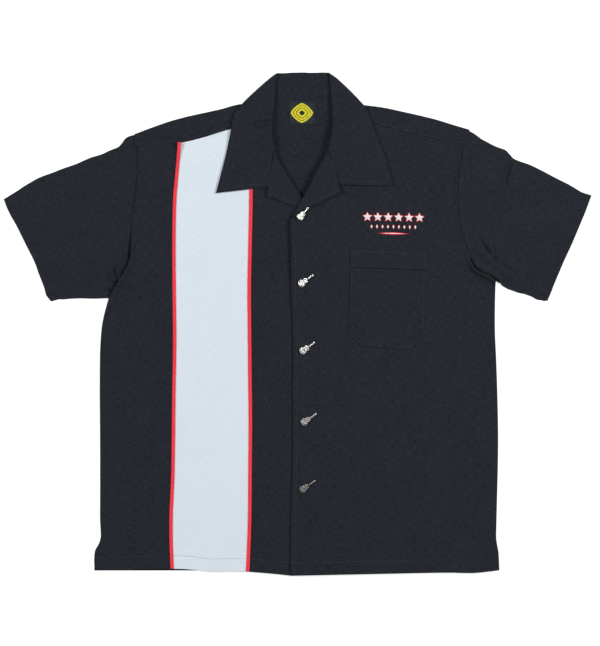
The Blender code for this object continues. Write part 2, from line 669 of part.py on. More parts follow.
class Facing:
    # The turned-back lapel: a strip inside the front, round the rolled edge, and out over the front.
    sections, inside_steps, lapel_steps = 9, 3, 6

    def __init__(self, stack, side):
        self.stack, self.name = stack, "facing_" + side
        roll, free, way = (ROLL_RIGHT, LAPEL_RIGHT, -1) if side == "right" else (ROLL_LEFT, LAPEL_LEFT, 1)
        self.lift = LAPEL_LIFT * ease(1.2 - even(self.sections))
        line = smooth(roll, self.sections)
        self.free = through(free)
        ahead = toward(np.gradient(line, axis=0))
        self.bulge = way * np.stack([ahead[:, 1], -ahead[:, 0]], axis=1)
        self.ridge = line - self.bulge * (WALL / 2 + PLY + self.lift / 2)[:, None]
        depth = np.minimum(FACING_DEPTH, 0.9 * np.linalg.norm(self.free - self.ridge, axis=1))
        self.hidden = self.ridge - self.bulge * depth[:, None]

    def lay_inside(self):
        xy = between(self.hidden, self.ridge, even(self.inside_steps))
        self.inside = self.stack.lay(xy, 0)
        self.stack.cover(self.inside)

    def lay_lapel(self):
        self.lapel = self.stack.lay(between(self.ridge, self.free, crowded(self.lapel_steps, 1.3)), 2)
        self.lapel[..., 2] += self.lift[:, None] * (1 - even(self.lapel_steps))[None] ** 2
        return self.lapel

    def finish(self):
        rolled = np.stack(turn(self.inside[:, -1], self.lapel[:, 0], self.bulge), axis=1)
        grid = np.concatenate([self.inside, rolled, self.lapel], axis=1)
        self.stack.cover(grid)
        make_sheet(self.name, grid, BLACK)


def make_piping(stack, name, rows):
    line = smooth(rows, 20)
    xy = between(beside(line, -PIPING_WIDTH / 2), beside(line, PIPING_WIDTH / 2), even(2))
    grid = stack.lay(xy, 2)
    stack.cover(grid)
    make_sheet(name, grid, RED)


def make_pocket(stack):
    left = join(straight(POCKET_LEFT_EDGE[:3], 7), straight(POCKET_LEFT_EDGE[2:], 3))
    right = join(straight(POCKET_RIGHT_EDGE[:3], 7), straight(POCKET_RIGHT_EDGE[2:], 3))
    body = stack.lay(between(left, right, even(7)), 2)
    inner_x, outer_x = POCKET_BAND_X
    inner = np.array([(inner_x, r.y_centre_side) for r in POCKET_BAND], float)
    outer = np.array([(outer_x, r.y_armhole_side) for r in POCKET_BAND], float)
    band = stack.lay(between(spaced(inner, 3), spaced(outer, 3), even(7)), 2)
    stack.cover(body, band)
    make_sheet("pocket", body, BLACK)
    make_sheet("pocket_band", band, BLACK)


def guitar_outline():
    # half of the outline, from the tail to the head, as distance along and half width
    b = BUTTON
    half = []
    for angle in np.linspace(0.0, 0.66 * np.pi, 6):
        half.append((b["lower_bout"] * (1 - np.cos(angle)), b["lower_bout"] * np.sin(angle)))
    half.append((b["body"] * 0.62, b["waist"]))
    centre = b["body"] - b["upper_bout"]
    for angle in np.linspace(0.42 * np.pi, 0.86 * np.pi, 4):
        half.append((centre - b["upper_bout"] * np.cos(angle), b["upper_bout"] * np.sin(angle)))
    half.append((b["body"] + b["neck"], b["neck_width"] / 2))
    half.append((b["body"] + b["neck"] + 1.2, b["head_width"] / 2))
    half.append((b["body"] + b["neck"] + b["head"], b["head_width"] / 2 * 0.8))
    half = [(along - b["lower_bout"], wide) for along, wide in half]
    return half + [(along, -wide) for along, wide in reversed(half[1:])]


def make_buttons(stack):
    for number, row in enumerate(BUTTONS, 1):
        angle = np.radians(row.turn)
        turned = np.array([(np.cos(angle), -np.sin(angle)), (np.sin(angle), np.cos(angle))])
        outline = np.array(guitar_outline()) @ turned.T + (row.x, row.y)
        i, j = stack.cells(outline)
        bottom = stack.top[i.min() - 1:i.max() + 2, j.min() - 1:j.max() + 2].max() + GAP
        make_plate(f"button_{number}", [tuple(p) for p in outline], bottom, BUTTON_THICKNESS, METAL)


build()
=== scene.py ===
import math

import bmesh
import bpy
import numpy as np
from mathutils import Matrix, Vector
from mathutils.bvhtree import BVHTree


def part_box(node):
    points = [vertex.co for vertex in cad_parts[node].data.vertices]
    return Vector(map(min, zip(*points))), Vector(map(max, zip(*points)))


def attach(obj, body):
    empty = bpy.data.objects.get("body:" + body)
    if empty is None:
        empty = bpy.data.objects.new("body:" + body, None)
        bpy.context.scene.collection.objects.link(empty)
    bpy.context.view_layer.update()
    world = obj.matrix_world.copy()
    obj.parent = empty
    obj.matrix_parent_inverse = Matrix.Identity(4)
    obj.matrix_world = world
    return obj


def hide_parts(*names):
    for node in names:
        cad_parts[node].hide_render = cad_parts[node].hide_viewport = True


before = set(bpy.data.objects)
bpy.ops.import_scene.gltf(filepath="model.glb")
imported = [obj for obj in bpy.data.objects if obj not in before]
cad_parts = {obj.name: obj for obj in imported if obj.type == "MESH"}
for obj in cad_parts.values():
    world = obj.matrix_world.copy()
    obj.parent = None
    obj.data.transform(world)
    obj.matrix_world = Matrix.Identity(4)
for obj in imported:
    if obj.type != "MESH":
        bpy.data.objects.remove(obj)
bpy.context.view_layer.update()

# A bowling shirt laid flat, front up. Tables are in millimetres: x towards the wearer's left sleeve, y from
# the hem towards the collar, z up from the surface. Right and left are the wearer's. Each cloth piece starts
# as a coarse net of points on its solid, is refined to a fine grid, gets its creases and seams, and is then
# mapped on to a bmesh grid with a thin wall.

mm = 0.001
wall = 1.0          # the solids' wall
ply = 1.3           # rise from one layer of the solids to the next
floorLayer = 0.33   # height of the middle of the cloth that lies on the surface
clothCell = 3.2     # width of a face of the finished cloth
clothThickness = 0.5

seamLines = {
    "shoulderRight": [(-254, 299), (-217, 314), (-179, 325), (-141, 334), (-103, 343), (-91, 346.5),
                      (-80, 348.5), (-65, 348.5)],
    "shoulderLeft": [(268, 306), (218, 322), (180, 331), (143, 339), (125, 343.5), (110, 344.5), (97, 344),
                     (83, 347)],
    "armholeRight": [(-254, 281), (-251, 247), (-253, 223), (-258, 186), (-261, 160), (-263, 128),
                     (-269, 97), (-279, 77), (-290, 60), (-297.5, 40.6)],
    "armholeLeft": [(261, 281), (257, 257), (253, 233), (252, 205), (253, 177), (257, 150), (263, 131),
                    (268, 110), (279, 89), (312, 70)],
    "sideRight": [(-297.5, 40.6), (-303, 22), (-309, -9), (-311, -57), (-311, -183), (-311, -309)],
    "ventRight": [(-310, -335), (-312.5, -345), (-318.5, -356), (-320, -364), (-320, -388)],
    "sideLeft": [(312, 70), (311, 22), (311, -9), (313, -57), (316, -183), (313.5, -309)],
    "ventLeft": [(313, -335), (314, -345), (316, -356), (317, -364), (318, -388)],
    "yokeFrontRight": [(-254, 280), (-190, 286.5), (-105, 307), (-59, 319)],
    "yokeFrontLeft": [(261, 281), (214, 292), (160, 305), (120, 317), (78, 329)],
    "neckRight": [(-65, 347), (-62, 333), (-59, 319), (-55, 303), (-49, 286), (-43, 273)],
    "neckLeft": [(83, 347), (81, 340), (78, 330), (73, 314), (65, 291), (56, 273)],
    "neckBack": [(-65, 347), (-50, 351), (-25, 352), (9, 352), (43, 352), (68, 351), (83, 347)],
    "panelOuter": [(-185.8, 286.5), (-189, 245), (-193, 202), (-194.4, 148), (-194.2, 60), (-193.4, -30),
                   (-194.7, -110), (-195.6, -195), (-196.7, -250), (-199.1, -305), (-198.2, -366),
                   (-197.4, -385.5)],
    "panelInner": [(-73.5, 315), (-73.3, 195), (-75, 110), (-76, 60), (-75.5, -9), (-74.9, -80),
                   (-74.2, -140), (-74.2, -175), (-74.7, -230), (-75, -287), (-76.5, -347), (-78.5, -390)],
    "rollRight": [(-35, 271), (-31, 260), (-23, 246), (-12, 228), (0, 210), (8, 198), (16, 183)],
    "rollLeft": [(48, 271), (38, 252), (27, 233), (17, 214), (7, 198), (-1, 182), (-9, 169)],
    "edgeRight": [(16, 183), (24, 165), (24, 65), (24, -240), (24, -396)],
    "edgeLeft": [(-9, 169), (-11, 165.5), (-10.4, 145), (-9.8, 115), (-9.4, 75), (-8.9, 38), (-7.4, 0),
                 (-7, -88), (-8, -240), (-10, -306), (-11, -396.5)],
}
yokeY = 265.0       # back yoke seam


# Lines and nets of points.

def lengthsAlong(line):
    return np.r_[0.0, np.cumsum(np.linalg.norm(np.diff(line, axis=0), axis=1))]


def evenly(points, count):
    points = np.asarray(points, float)
    along = lengthsAlong(points)
    places = np.linspace(0.0, along[-1], count)
    return np.stack([np.interp(places, along, points[:, k]) for k in range(points.shape[1])], axis=1)


def curved(points, count):
    return evenly(refined(np.asarray(points, float)[:, None, :], 1.0)[0][:, 0], count)


def joined(*lines):
    return np.vstack([lines[0]] + [line[1:] for line in lines[1:]])


def cornered(first, second, reach=2.5):
    # joins two lines, with a point close to the corner on either side so that it stays sharp
    corner = second[0]
    before, after = [corner + reach * (point - corner) / np.linalg.norm(point - corner)
                     for point in (first[-2], second[1])]
    return np.vstack([first[:-1], before, corner, after, second[1:]])


def unit(vectors):
    vectors = np.asarray(vectors, float)
    return vectors / np.linalg.norm(vectors, axis=-1, keepdims=True)


def leftOf(line):
    ahead = unit(np.gradient(line, axis=0))
    return np.stack([-ahead[..., 1], ahead[..., 0]], axis=-1)


def shifted(line, distance):
    return line + distance * leftOf(line)


def spanned(first, last, steps):
    share = np.asarray(steps, float)[None, :, None]
    return first[:, None, :] * (1 - share) + last[:, None, :] * share


def eased(t):
    t = np.clip(t, 0.0, 1.0)
    return t * t * (3 - 2 * t)


def crossingAt(line, y):
    order = np.argsort(line[:, 1])
    return np.array([np.interp(y, line[order, 1], line[order, 0]), y])


def knotsOf(grid, axis=0):
    # places in mm along a net, by the mean length of its steps
    steps = np.linalg.norm(np.diff(grid, axis=axis), axis=-1).mean(axis=1 - axis)
    return np.r_[0.0, np.cumsum(np.maximum(steps, 1e-6))]


def placesOn(knots, cell, marks=()):
    # even places, with the knots of narrow steps and with extra marks, from the end if they are negative
    steps = np.diff(knots)
    extra = [mark if mark >= 0 else knots[-1] + mark for mark in marks]
    places = [np.linspace(knots[0], knots[-1], max(1, round((knots[-1] - knots[0]) / cell)) + 1)]
    places += [knots[k:k + 2] for k in range(len(steps)) if steps[k] < cell]
    places = np.unique(np.round(np.concatenate(places + [extra]), 3))
    places = np.clip(places, knots[0], knots[-1])
    keep = np.r_[True, np.diff(places) > 0.12]
    keep[-1] = True
    for mark in extra:
        keep[np.argmin(abs(places - mark))] = True
    return places[keep]


def refined(grid, cell=clothCell, marks=(), axis=0, closed=False, knots=None, places=None, stiff=3.0):
    # a smooth line through each row or column of a net, and the places in mm along it of its new points; a
    # long step bends little towards a short one beside it if it is stiff
    grid = np.moveaxis(grid, axis, 0)
    if closed:
        grid = np.concatenate([grid, grid[:1]])
    knots = knotsOf(grid) if knots is None else knots
    places = placesOn(knots, cell, marks) if places is None else places
    steps = np.diff(knots)
    slopes = np.diff(grid, axis=0) / steps[:, None, None]
    before, after = steps[:-1, None, None], steps[1:, None, None]
    inner = (slopes[:-1] * after + slopes[1:] * before) / (before + after)
    if closed:
        ends = (slopes[-1] * steps[0] + slopes[0] * steps[-1]) / (steps[0] + steps[-1])
        tangents = np.concatenate([ends[None], inner, ends[None]])
    else:
        tangents = np.concatenate([slopes[:1], inner, slopes[-1:]])
    beside = np.r_[steps[-1 if closed else 0], steps, steps[0 if closed else -1]]
    towards = [np.minimum(1.0, stiff * near / steps)[:, None, None] for near in (beside[2:], beside[:-2])]
    leaving = slopes + (tangents[:-1] - slopes) * towards[1]
    arriving = slopes + (tangents[1:] - slopes) * towards[0]
    k = np.clip(np.searchsorted(knots, places, side="right") - 1, 0, len(steps) - 1)
    h = steps[k][:, None, None]
    t = ((places - knots[k]) / steps[k])[:, None, None]
    fine = ((2 * t ** 3 - 3 * t ** 2 + 1) * grid[k] + (t ** 3 - 2 * t ** 2 + t) * h * leaving[k]
            + (3 * t ** 2 - 2 * t ** 3) * grid[k + 1] + (t ** 3 - t ** 2) * h * arriving[k])
    return np.moveaxis(fine, 0, axis), places


def folded(first, last, outward, steps=6):
    # rows between two layers whose ends lie one over the other, on half circles that bulge outward
    middle, radius = (first + last) / 2, (first - last) / 2
    reach = np.linalg.norm(radius, axis=-1, keepdims=True)
    out = np.concatenate([outward, np.zeros(outward.shape[:-1] + (1,))], axis=-1)
    return [middle + radius * math.cos(a) + out * reach * math.sin(a)
            for a in np.linspace(0.0, math.pi, steps + 1)[1:-1]]


# Heights of the solids.

class Solid:
    def __init__(self, node):
        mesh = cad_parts[node].data
        corners, faces = [v.co[:] for v in mesh.vertices], [face.vertices[:] for face in mesh.polygons]
        self.tree = BVHTree.FromPolygons(corners, faces)

    def lay(self, xy, layer=0):
        # puts a net of plane points in the middle of a wall of the solid, counted from the top, or from the
        # surface if it is negative
        z = np.full(xy.shape[:-1], np.nan)
        for index in np.ndindex(z.shape):
            x, y = xy[index]
            tops, height = [], 1.0
            while True:
                hit, normal = self.tree.ray_cast((x * mm, y * mm, height), (0.0, 0.0, -1.0))[:2]
                if hit is None:
                    break
                if normal.z > 0.1:
                    tops.append(hit.z / mm - wall / 2)
                height = hit.z - 1e-6
            if -len(tops) <= layer < len(tops):
                z[index] = tops[layer]
        z = filled(z)
        z = np.where(z < wall, floorLayer, z)
        return np.concatenate([xy, z[..., None]], axis=-1)


def filled(z):
    # points off the solid take the mean height of their neighbours, from the ones beside it outwards
    if np.isnan(z).all():
        raise ValueError("no point of the net lies over its solid")
    while np.isnan(z).any():
        padded = np.pad(z, 1, constant_values=np.nan)
        around = np.stack([padded[2:, 1:-1], padded[:-2, 1:-1], padded[1:-1, 2:], padded[1:-1, :-2]])
        known = ~np.isnan(around)
        total = np.where(known, around, 0.0).sum(axis=0)
        mean = np.where(known.any(axis=0), total / np.maximum(known.sum(axis=0), 1), np.nan)
        z = np.where(np.isnan(z), mean, z)
    return z


solids = {name: Solid(name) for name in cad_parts}
print("solids read:", len(solids))


# Creases in the front: each runs along its points and tapers at both ends, over the shares of its length in
# fade. A height above 0 is a ridge; one below 0 is a trough in a low mound.

frontCreases = [
    dict(path=[(-254, 284), (-252, 247), (-254, 223), (-258, 186), (-261, 160), (-263, 128), (-268, 104)],
         height=-2.7, width=1.5, fade=(0.04, 0.1)),
    dict(path=[(261, 290), (257, 257), (253, 233), (252, 205), (253, 177), (257, 150), (263, 131),
               (272, 104)],
         height=-2.5, width=1.4, fade=(0.04, 0.1)),
    dict(path=[(-262, 160), (-264, 128), (-265, 107), (-269, 93), (-276.6, 80.4), (-284, 68.4),
               (-292, 53.6), (-299, 38), (-305, 18)],
         height=-8.5, width=3.2, fade=(0.3, 0.1)),
    dict(path=[(-289, 98), (-288, 88), (-286.5, 78), (-284, 66)], height=-6.0, width=2.0, fade=(0.4, 0.1)),
    dict(path=[(-222, 76), (-243, 60), (-265, 46)], height=-4.2, width=5.5),
    dict(path=[(-210, 74), (-232, 60), (-252, 40)], height=0.9, width=7),
    dict(path=[(-243, 36), (-250, 28), (-262, 20)], height=-2.2, width=4),
    dict(path=[(-258, 24), (-267, 17), (-280, 8)], height=-2.0, width=4),
    dict(path=[(340, 262), (332, 236), (326, 206), (324, 188)], height=-5.2, width=1.8, fade=(0.08, 0.7)),
    dict(path=[(352, 256), (344, 232), (338, 200)], height=1.8, width=7),
    dict(path=[(270, 118), (274, 100), (281, 88), (296, 79), (312, 70), (320, 62)],
         height=-9.0, width=2.1, fade=(0.35, 0.1)),
    dict(path=[(276, 94), (285, 92), (297, 82), (312, 72), (324, 60)], height=-3.0, width=1.6),
    dict(path=[(279, 143), (290, 129), (302, 112), (311, 96)], height=-4.8, width=3.4, fade=(0.35, 0.2)),
    dict(path=[(272, 128), (286, 112), (303, 94)], height=1.6, width=5),
    dict(path=[(307, 142), (309, 118), (309.5, 98)], height=-3.8, width=2.6, fade=(0.5, 0.2)),
    dict(path=[(316, 97), (331, 87), (349, 77)], height=-3.0, width=4),
    dict(path=[(319, 171), (350, 182), (393, 189), (423, 200)], height=-2.6, width=6),
    dict(path=[(330, 150), (362, 152), (398, 160)], height=1.4, width=10),
    dict(path=[(270, 270), (270, 250), (271, 226)], height=-3.2, width=3),
    dict(path=[(276, 290), (271, 254), (268, 224)], height=0.7, width=4),
    dict(path=[(70, 205), (60.7, 201), (51.7, 197), (42.7, 192), (33.7, 188), (24.7, 184), (14, 178)],
         height=-3.4, width=2.0, fade=(0.1, 0.4)),
    dict(path=[(63.5, 222), (67, 213), (70.5, 203)], height=-3.4, width=2.2, fade=(0.3, 0.2)),
    dict(path=[(127, -44), (125, -180), (128, -300), (127, -384)], height=0.6, width=4),
    dict(path=[(134, -60), (133, -200), (135, -330)], height=-1.3, width=4),
    dict(path=[(281, 30), (283, -120), (282, -300), (281, -380)], height=0.55, width=4),
    dict(path=[(-300, 90), (-318, 92), (-340, 98)], height=-2.0, width=5),
    dict(path=[(-285, 230), (-300, 180), (-306, 120)], height=0.8, width=12),
    dict(path=[(-330, 220), (-352, 160), (-366, 100)], height=-1.8, width=10),
    dict(path=[(-64, 320), (-54, 322), (-42, 321)], height=-0.9, width=2.6),
    dict(path=[(-270, 288), (-262, 274), (-258, 262)], height=1.0, width=6),
    dict(path=[(60, 40), (120, 20), (190, 24)], height=-1.2, width=10),
    dict(path=[(40, -200), (110, -215), (210, -205)], height=0.55, width=16),
    dict(path=[(-290, -120), (-250, -135), (-210, -130)], height=-1.4, width=10),
    dict(path=[(180, -60), (250, -75), (300, -60)], height=-1.4, width=10),
    dict(path=[(60, -320), (150, -335), (260, -325)], height=0.55, width=14),
    dict(path=[(-60, -40), (-35, -120), (-50, -220)], height=0.5, width=12),
]

backCreases = [
    dict(path=[(-250, 190), (-180, 120), (-150, 20)], height=0.30, width=10),
    dict(path=[(240, 200), (190, 110), (170, 10)], height=0.26, width=12),
    dict(path=[(-60, 230), (-50, 60), (-62, -120)], height=0.22, width=9),
    dict(path=[(90, 220), (84, 90), (96, -60)], height=0.28, width=8),
    dict(path=[(-280, -60), (-200, -110), (-90, -120)], height=0.25, width=13),
    dict(path=[(290, -30), (200, -90), (120, -100)], height=0.3, width=12),
    dict(path=[(-240, -300), (-100, -320), (60, -310)], height=0.22, width=15),
    dict(path=[(-330, 210), (-350, 150), (-362, 90)], height=0.25, width=9),
    dict(path=[(330, 220), (352, 160), (368, 100)], height=0.28, width=9),
    dict(path=[(-190, 300), (-120, 318), (-80, 322)], height=0.15, width=7),
]


def creased(xy, creases):
    # the rise at each point of a net
    rise = np.zeros(xy.shape[:-1])
    for crease in creases:
        line = curved([(x, y) for x, y in crease["path"]], 4 * len(crease["path"]))
        lengths = lengthsAlong(line)
        reach = 6.0 * crease["width"]
        low, high = line.min(0) - reach, line.max(0) + reach
        near = ((xy > low) & (xy < high)).all(axis=-1)
        spots = xy[near]
        nearest = np.full(len(spots), 1e9)
        place = np.zeros(len(spots))
        for a, b, start in zip(line, line[1:], lengths):
            t = np.clip((spots - a) @ (b - a) / ((b - a) @ (b - a)), 0.0, 1.0)
            distance = np.linalg.norm(spots - a - t[:, None] * (b - a), axis=1)
            closer = distance < nearest
            nearest[closer] = distance[closer]
            place[closer] = (start + t * np.linalg.norm(b - a))[closer]
        first, last = [share * lengths[-1] for share in crease.get("fade", (0.4, 0.3))]
        taper = eased(place / first) * eased((lengths[-1] - place) / last)
        uneven = 1.0 + 0.12 * np.sin(place / crease["width"] * 0.9)
        share = nearest / crease["width"]
        mound = 0.9 * np.exp(-(share / 3) ** 2) if crease["height"] < 0 else 0.0
        rise[near] += crease["height"] * uneven * taper * (np.exp(-share ** 2) - mound)
    return rise


# swells: height in mm, radians in a mm along x and y, phase
waves = [(0.22, 0.021, 0.008, 0.4), (0.18, -0.012, 0.027, 1.9), (0.14, 0.041, 0.017, 4.0),
         (0.12, 0.009, -0.046, 2.6), (0.08, 0.066, 0.052, 0.9), (0.07, -0.071, 0.038, 5.1)]


def undulating(xy):
    # slow swells, as in cloth that has been smoothed by hand
    return sum(size * np.sin(kx * xy[..., 0] + ky * xy[..., 1] + phase) for size, kx, ky, phase in waves)


# Meshes.

surfaces = {}


def meshOf(bm, name):
    mesh = bpy.data.meshes.new(name)
    bm.to_mesh(mesh)
    bm.free()
    return mesh


def placed(name, data):
    made = bpy.data.objects.new(name, data)
    bpy.context.scene.collection.objects.link(made)
    return made


def clothObject(name, points, grain, material, closed=False, keep=None):
    # points and grain are grids of the same size; grain gives the weave's own coordinates in mm. A face whose
    # row and column keep refuses is left out.
    rows, columns = points.shape[:2]
    points[..., 2] = np.maximum(points[..., 2], clothThickness / 2 + 0.02)
    bm = bmesh.new()
    bmesh.ops.create_grid(bm, x_segments=columns - 1, y_segments=rows - 1, size=0.5)
    weave = bm.loops.layers.uv.new("grain")
    places = {}
    for vert in bm.verts:
        i, j = round((vert.co.y + 0.5) * (rows - 1)), round((vert.co.x + 0.5) * (columns - 1))
        places[vert] = (i, j)
    for vert, place in places.items():
        vert.co = points[place] * mm
    dropped = []
    for face in bm.faces:
        for loop in face.loops:
            loop[weave].uv = grain[places[loop.vert]] * mm
        if keep is not None:
            corner = min(places[v] for v in face.verts)
            if not keep(*corner):
                dropped.append(face)
    if dropped:
        bmesh.ops.delete(bm, geom=dropped, context="FACES")
    if closed:
        bmesh.ops.remove_doubles(bm, verts=bm.verts, dist=1e-6)
    surfaces[name] = BVHTree.FromBMesh(bm)
    return finished(name, meshOf(bm, name), material, clothThickness)


def finished(name, mesh, material, thickness=None):
    mesh.materials.append(material)
    mesh.shade_smooth()
    piece = placed(name, mesh)
    if thickness:
        shell = piece.modifiers.new("wall", "SOLIDIFY")
        shell.thickness = thickness * mm
        shell.offset = 0.0
    return piece


def dressed(piece, slot, *nodes):
    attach(piece, "root")
    if nodes:
        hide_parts(*nodes)
    return piece


def nearEdge(places, end, width):
    # 1 at one end of a line of places, fading to 0 over the width
    distance = places if end == "start" else places[-1] - places
    return np.exp(-(distance / width) ** 2)


def nearBoth(places, width):
    return nearEdge(places, "start", width) + nearEdge(places, "end", width)


seamMarks = (0.6, 1.3, 2.2, 3.4, -0.6, -1.3, -2.2, -3.4)


def panel(net, cell=clothCell, rowMarks=seamMarks, columnMarks=seamMarks, dips=()):
    # a refined front or back panel, each edge in dips turned down by a depth over a width, or up if below 0
    fine, along = refined(net, cell, rowMarks, axis=0)
    fine, across = refined(fine, cell, columnMarks, axis=1)
    for side, depth, width in dips:
        if side in ("top", "bottom"):
            fade = nearEdge(along, "start" if side == "top" else "end", width)[:, None]
        else:
            fade = nearEdge(across, "start" if side == "first" else "end", width)[None, :]
        fine[..., 2] -= depth * fade
    return fine, along, across


# Finishes.

class Value:
    # a socket of a material, so that maths on it reads as Python
    def __init__(self, finish, socket):
        self.finish, self.socket = finish, socket

    def maths(self, operation, *others):
        return self.finish.node("Math", {"operation": operation}, dict(enumerate([self, *others])))

    def __add__(self, other):
        return self.maths("ADD", other)

    def __mul__(self, other):
        return self.maths("MULTIPLY", other)

    def __sub__(self, other):
        return self.maths("SUBTRACT", other)

    def __rsub__(self, other):
        return self.finish.node("Math", {"operation": "SUBTRACT"}, {0: other, 1: self})

    def __pow__(self, other):
        return self.maths("POWER", other)

    def __lt__(self, other):
        return self.maths("LESS_THAN", other)

    def __abs__(self):
        return self.maths("ABSOLUTE")

    __radd__, __rmul__ = __add__, __mul__


class Finish:
    def __init__(self, name, **constants):
        self.material = bpy.data.materials.new(name)
        self.material.use_nodes = True
        self.tree = self.material.node_tree
        self.shader = self.tree.nodes["Principled BSDF"]
        for socket, value in constants.items():
            self.shader.inputs[socket.replace("_", " ")].default_value = value

    def node(self, kind, settings=None, inputs=None, output=0):
        made = self.tree.nodes.new("ShaderNode" + kind)
        for setting, value in (settings or {}).items():
            if setting == "stops":
                for element, (place, colour) in zip(made.color_ramp.elements, value):
                    element.position, element.color = place, colour
            else:
                setattr(made, setting, value)
        for socket, value in (inputs or {}).items():
            self.feed(made.inputs[socket], value)
        return Value(self, made.outputs[output])

    def feed(self, socket, value):
        if isinstance(value, Value):
            self.tree.links.new(value.socket, socket)
        else:
            socket.default_value = value

    def paint(self, colour, roughness):
        self.feed(self.shader.inputs["Base Color"], colour)
        self.feed(self.shader.inputs["Roughness"], roughness)

    def speckle(self, scale, detail=2.0):
        # noise on the place in the object
        place = self.node("TexCoord", output=3)
        return self.node("TexNoise", inputs={"Vector": place, "Scale": scale, "Detail": detail})

    def grain(self):
        # the cloth's own coordinates in m, across and along it
        split = self.node("SeparateXYZ", inputs={0: self.node("UVMap", {"uv_map": "grain"})})
        return split, Value(self, split.socket.node.outputs[1])

    def mixed(self, share, first, second):
        return self.node("Mix", {"data_type": "RGBA"}, {0: share, 6: first, 7: second}, output=2)

    def noise(self, u, v, across, along, detail=2.0):
        # grain in the cloth's own coordinates, with features of these widths in mm
        place = self.node("CombineXYZ", inputs={"X": u * (1000 / across), "Y": v * (1000 / along)})
        return self.node("TexNoise", inputs={"Vector": place, "Scale": 1.0, "Detail": detail})

    def bumped(self, height, distance, strength=1.0):
        normal = self.node("Bump", inputs={"Height": height, "Distance": distance * mm, "Strength": strength})
        self.feed(self.shader.inputs["Normal"], normal)


def rgba(colour, scale=1.0):
    return (*[channel * scale for channel in colour], 1.0)


clothLooks = {
    "blackCloth": dict(colour=(0.0116, 0.0140, 0.0200), light=1.62, dark=0.60, roughness=0.8, specular=0.15,
                       sheen=0.05, pitch=0.62, slub=0.55),
    "paleCloth": dict(colour=(0.712, 0.788, 0.855), light=1.03, dark=0.94, roughness=0.8, specular=0.2,
                      sheen=0.05, pitch=0.62, slub=0.5),
    "redCloth": dict(colour=(0.93, 0.034, 0.054), light=1.06, dark=0.85, roughness=0.6, specular=0.3,
                     sheen=0.1, pitch=0.5, slub=0.3),
}


def clothFinish(name, look):
    finish = Finish(name, Specular_IOR_Level=look["specular"], Sheen_Weight=look["sheen"],
                    Sheen_Roughness=0.5)
    u, v = finish.grain()
    weft = finish.noise(u, v, 9.0, 1.1)
    warp = finish.noise(u, v, 1.0, 9.0)
    cloudy = finish.noise(u, v, 40.0, 60.0, 1.0)
    shade = weft * 0.50 + warp * 0.42 + cloudy * 0.08
    shade = finish.node("MapRange", {"clamp": True}, {"Value": shade, "From Min": 0.38, "From Max": 0.62})
    colour = finish.mixed(shade, rgba(look["colour"], look["dark"]), rgba(look["colour"], look["light"]))
    finish.paint(colour, look["roughness"] + 0.12 * (0.5 - warp))
    turns = 2 * math.pi * 1000 / look["pitch"]
    over = (u * turns).maths("SINE")
    under = (v * turns).maths("SINE")
    finish.bumped(over * under * 0.5 + weft * look["slub"] * 2 + warp * look["slub"], 0.06, 0.7)
    return finish.material


finishes = {name: clothFinish(name, look) for name, look in clothLooks.items()}


# the topstitching and hem thread is black; its lighter grey colour is painted sheen, so its stitches show as
# light lines
threadColours = dict(blackThread=(0.010, 0.011, 0.014), sheenPaintedThread=(0.046, 0.051, 0.060),
                     whiteThread=(0.80, 0.80, 0.80), redThread=(0.75, 0.022, 0.035))


def threadFinish(name, colour):
    # twisted thread, with fine strands
    finish = Finish(name, Specular_IOR_Level=0.3, Sheen_Weight=0.15)
    strands = finish.speckle(1600.0, 1.0)
    finish.paint(finish.mixed(strands, rgba(colour, 0.75), rgba(colour, 1.25)), 0.55 + 0.15 * strands)
    finish.bumped(strands, 0.05)
    return finish.material


finishes.update({name: threadFinish(name, colour) for name, colour in threadColours.items()})

metalColours = dict(castMetal=((0.90, 0.89, 0.86), (0.62, 0.60, 0.56)),
                    wornMetal=((0.80, 0.78, 0.75), (0.26, 0.25, 0.235)),
                    dulledMetal=((0.50, 0.48, 0.45), (0.15, 0.14, 0.13)))


def metalFinish(name, bright, dull):
    finish = Finish(name, Metallic=1.0)
    tarnish = finish.speckle(420.0, 4.0)
    share = finish.node("MapRange", {"clamp": True}, {"Value": tarnish, "From Min": 0.35, "From Max": 0.7})
    finish.paint(finish.mixed(share, rgba(bright), rgba(dull)), 0.22 + 0.2 * share)
    finish.bumped(tarnish, 0.05, 0.5)
    return finish.material


finishes.update({name: metalFinish(name, *colours) for name, colours in metalColours.items()})


def enamelFinish():
    finish = Finish("darkEnamel", Specular_IOR_Level=0.5)
    specks = finish.speckle(900.0)
    colour = finish.mixed(specks, rgba((0.02, 0.02, 0.02)), rgba((0.05, 0.045, 0.04)))
    finish.paint(colour, 0.3 + 0.2 * specks)
    return finish.material


finishes["darkEnamel"] = enamelFinish()


# the lozenge's half width and height in mm, and its black rings as shares of its size
labelLook = dict(wide=17.6, high=15.6, round=1.35, rings=[(0.76, 0.68), (0.46, 0.38), (0.16, 0.0)], pitch=0.5,
                 black=((0.014, 0.018, 0.024), (0.025, 0.030, 0.037)),
                 yellow=((0.50, 0.44, 0.010), (0.76, 0.68, 0.030)))


def labelFinish():
    # black damask with a plain yellow lozenge, rings in it and a dot
    finish = Finish("labelCloth", Specular_IOR_Level=0.12)
    look = labelLook
    u, v = finish.grain()
    form = abs(u * (1000 / look["wide"])) ** look["round"] + abs(v * (1000 / look["high"])) ** look["round"]
    yellow = form < 1.0
    for outer, inner in look["rings"]:
        yellow = yellow * (1.0 - (form < outer) * (1.0 - (form < inner)))
    threads = (v * (2 * math.pi * 1000 / look["pitch"])).maths("SINE")
    shade = 0.85 + 0.15 * threads
    dark = finish.mixed(shade, *map(rgba, look["black"]))
    light = finish.mixed(shade, *map(rgba, look["yellow"]))
    finish.paint(finish.mixed(yellow, dark, light), 0.6 - 0.1 * threads)
    finish.bumped(threads + yellow * 1.5, 0.05, 0.8)
    return finish.material


finishes["labelCloth"] = labelFinish()
print("finishes made:", len(finishes))


# Back, yoke and fronts.

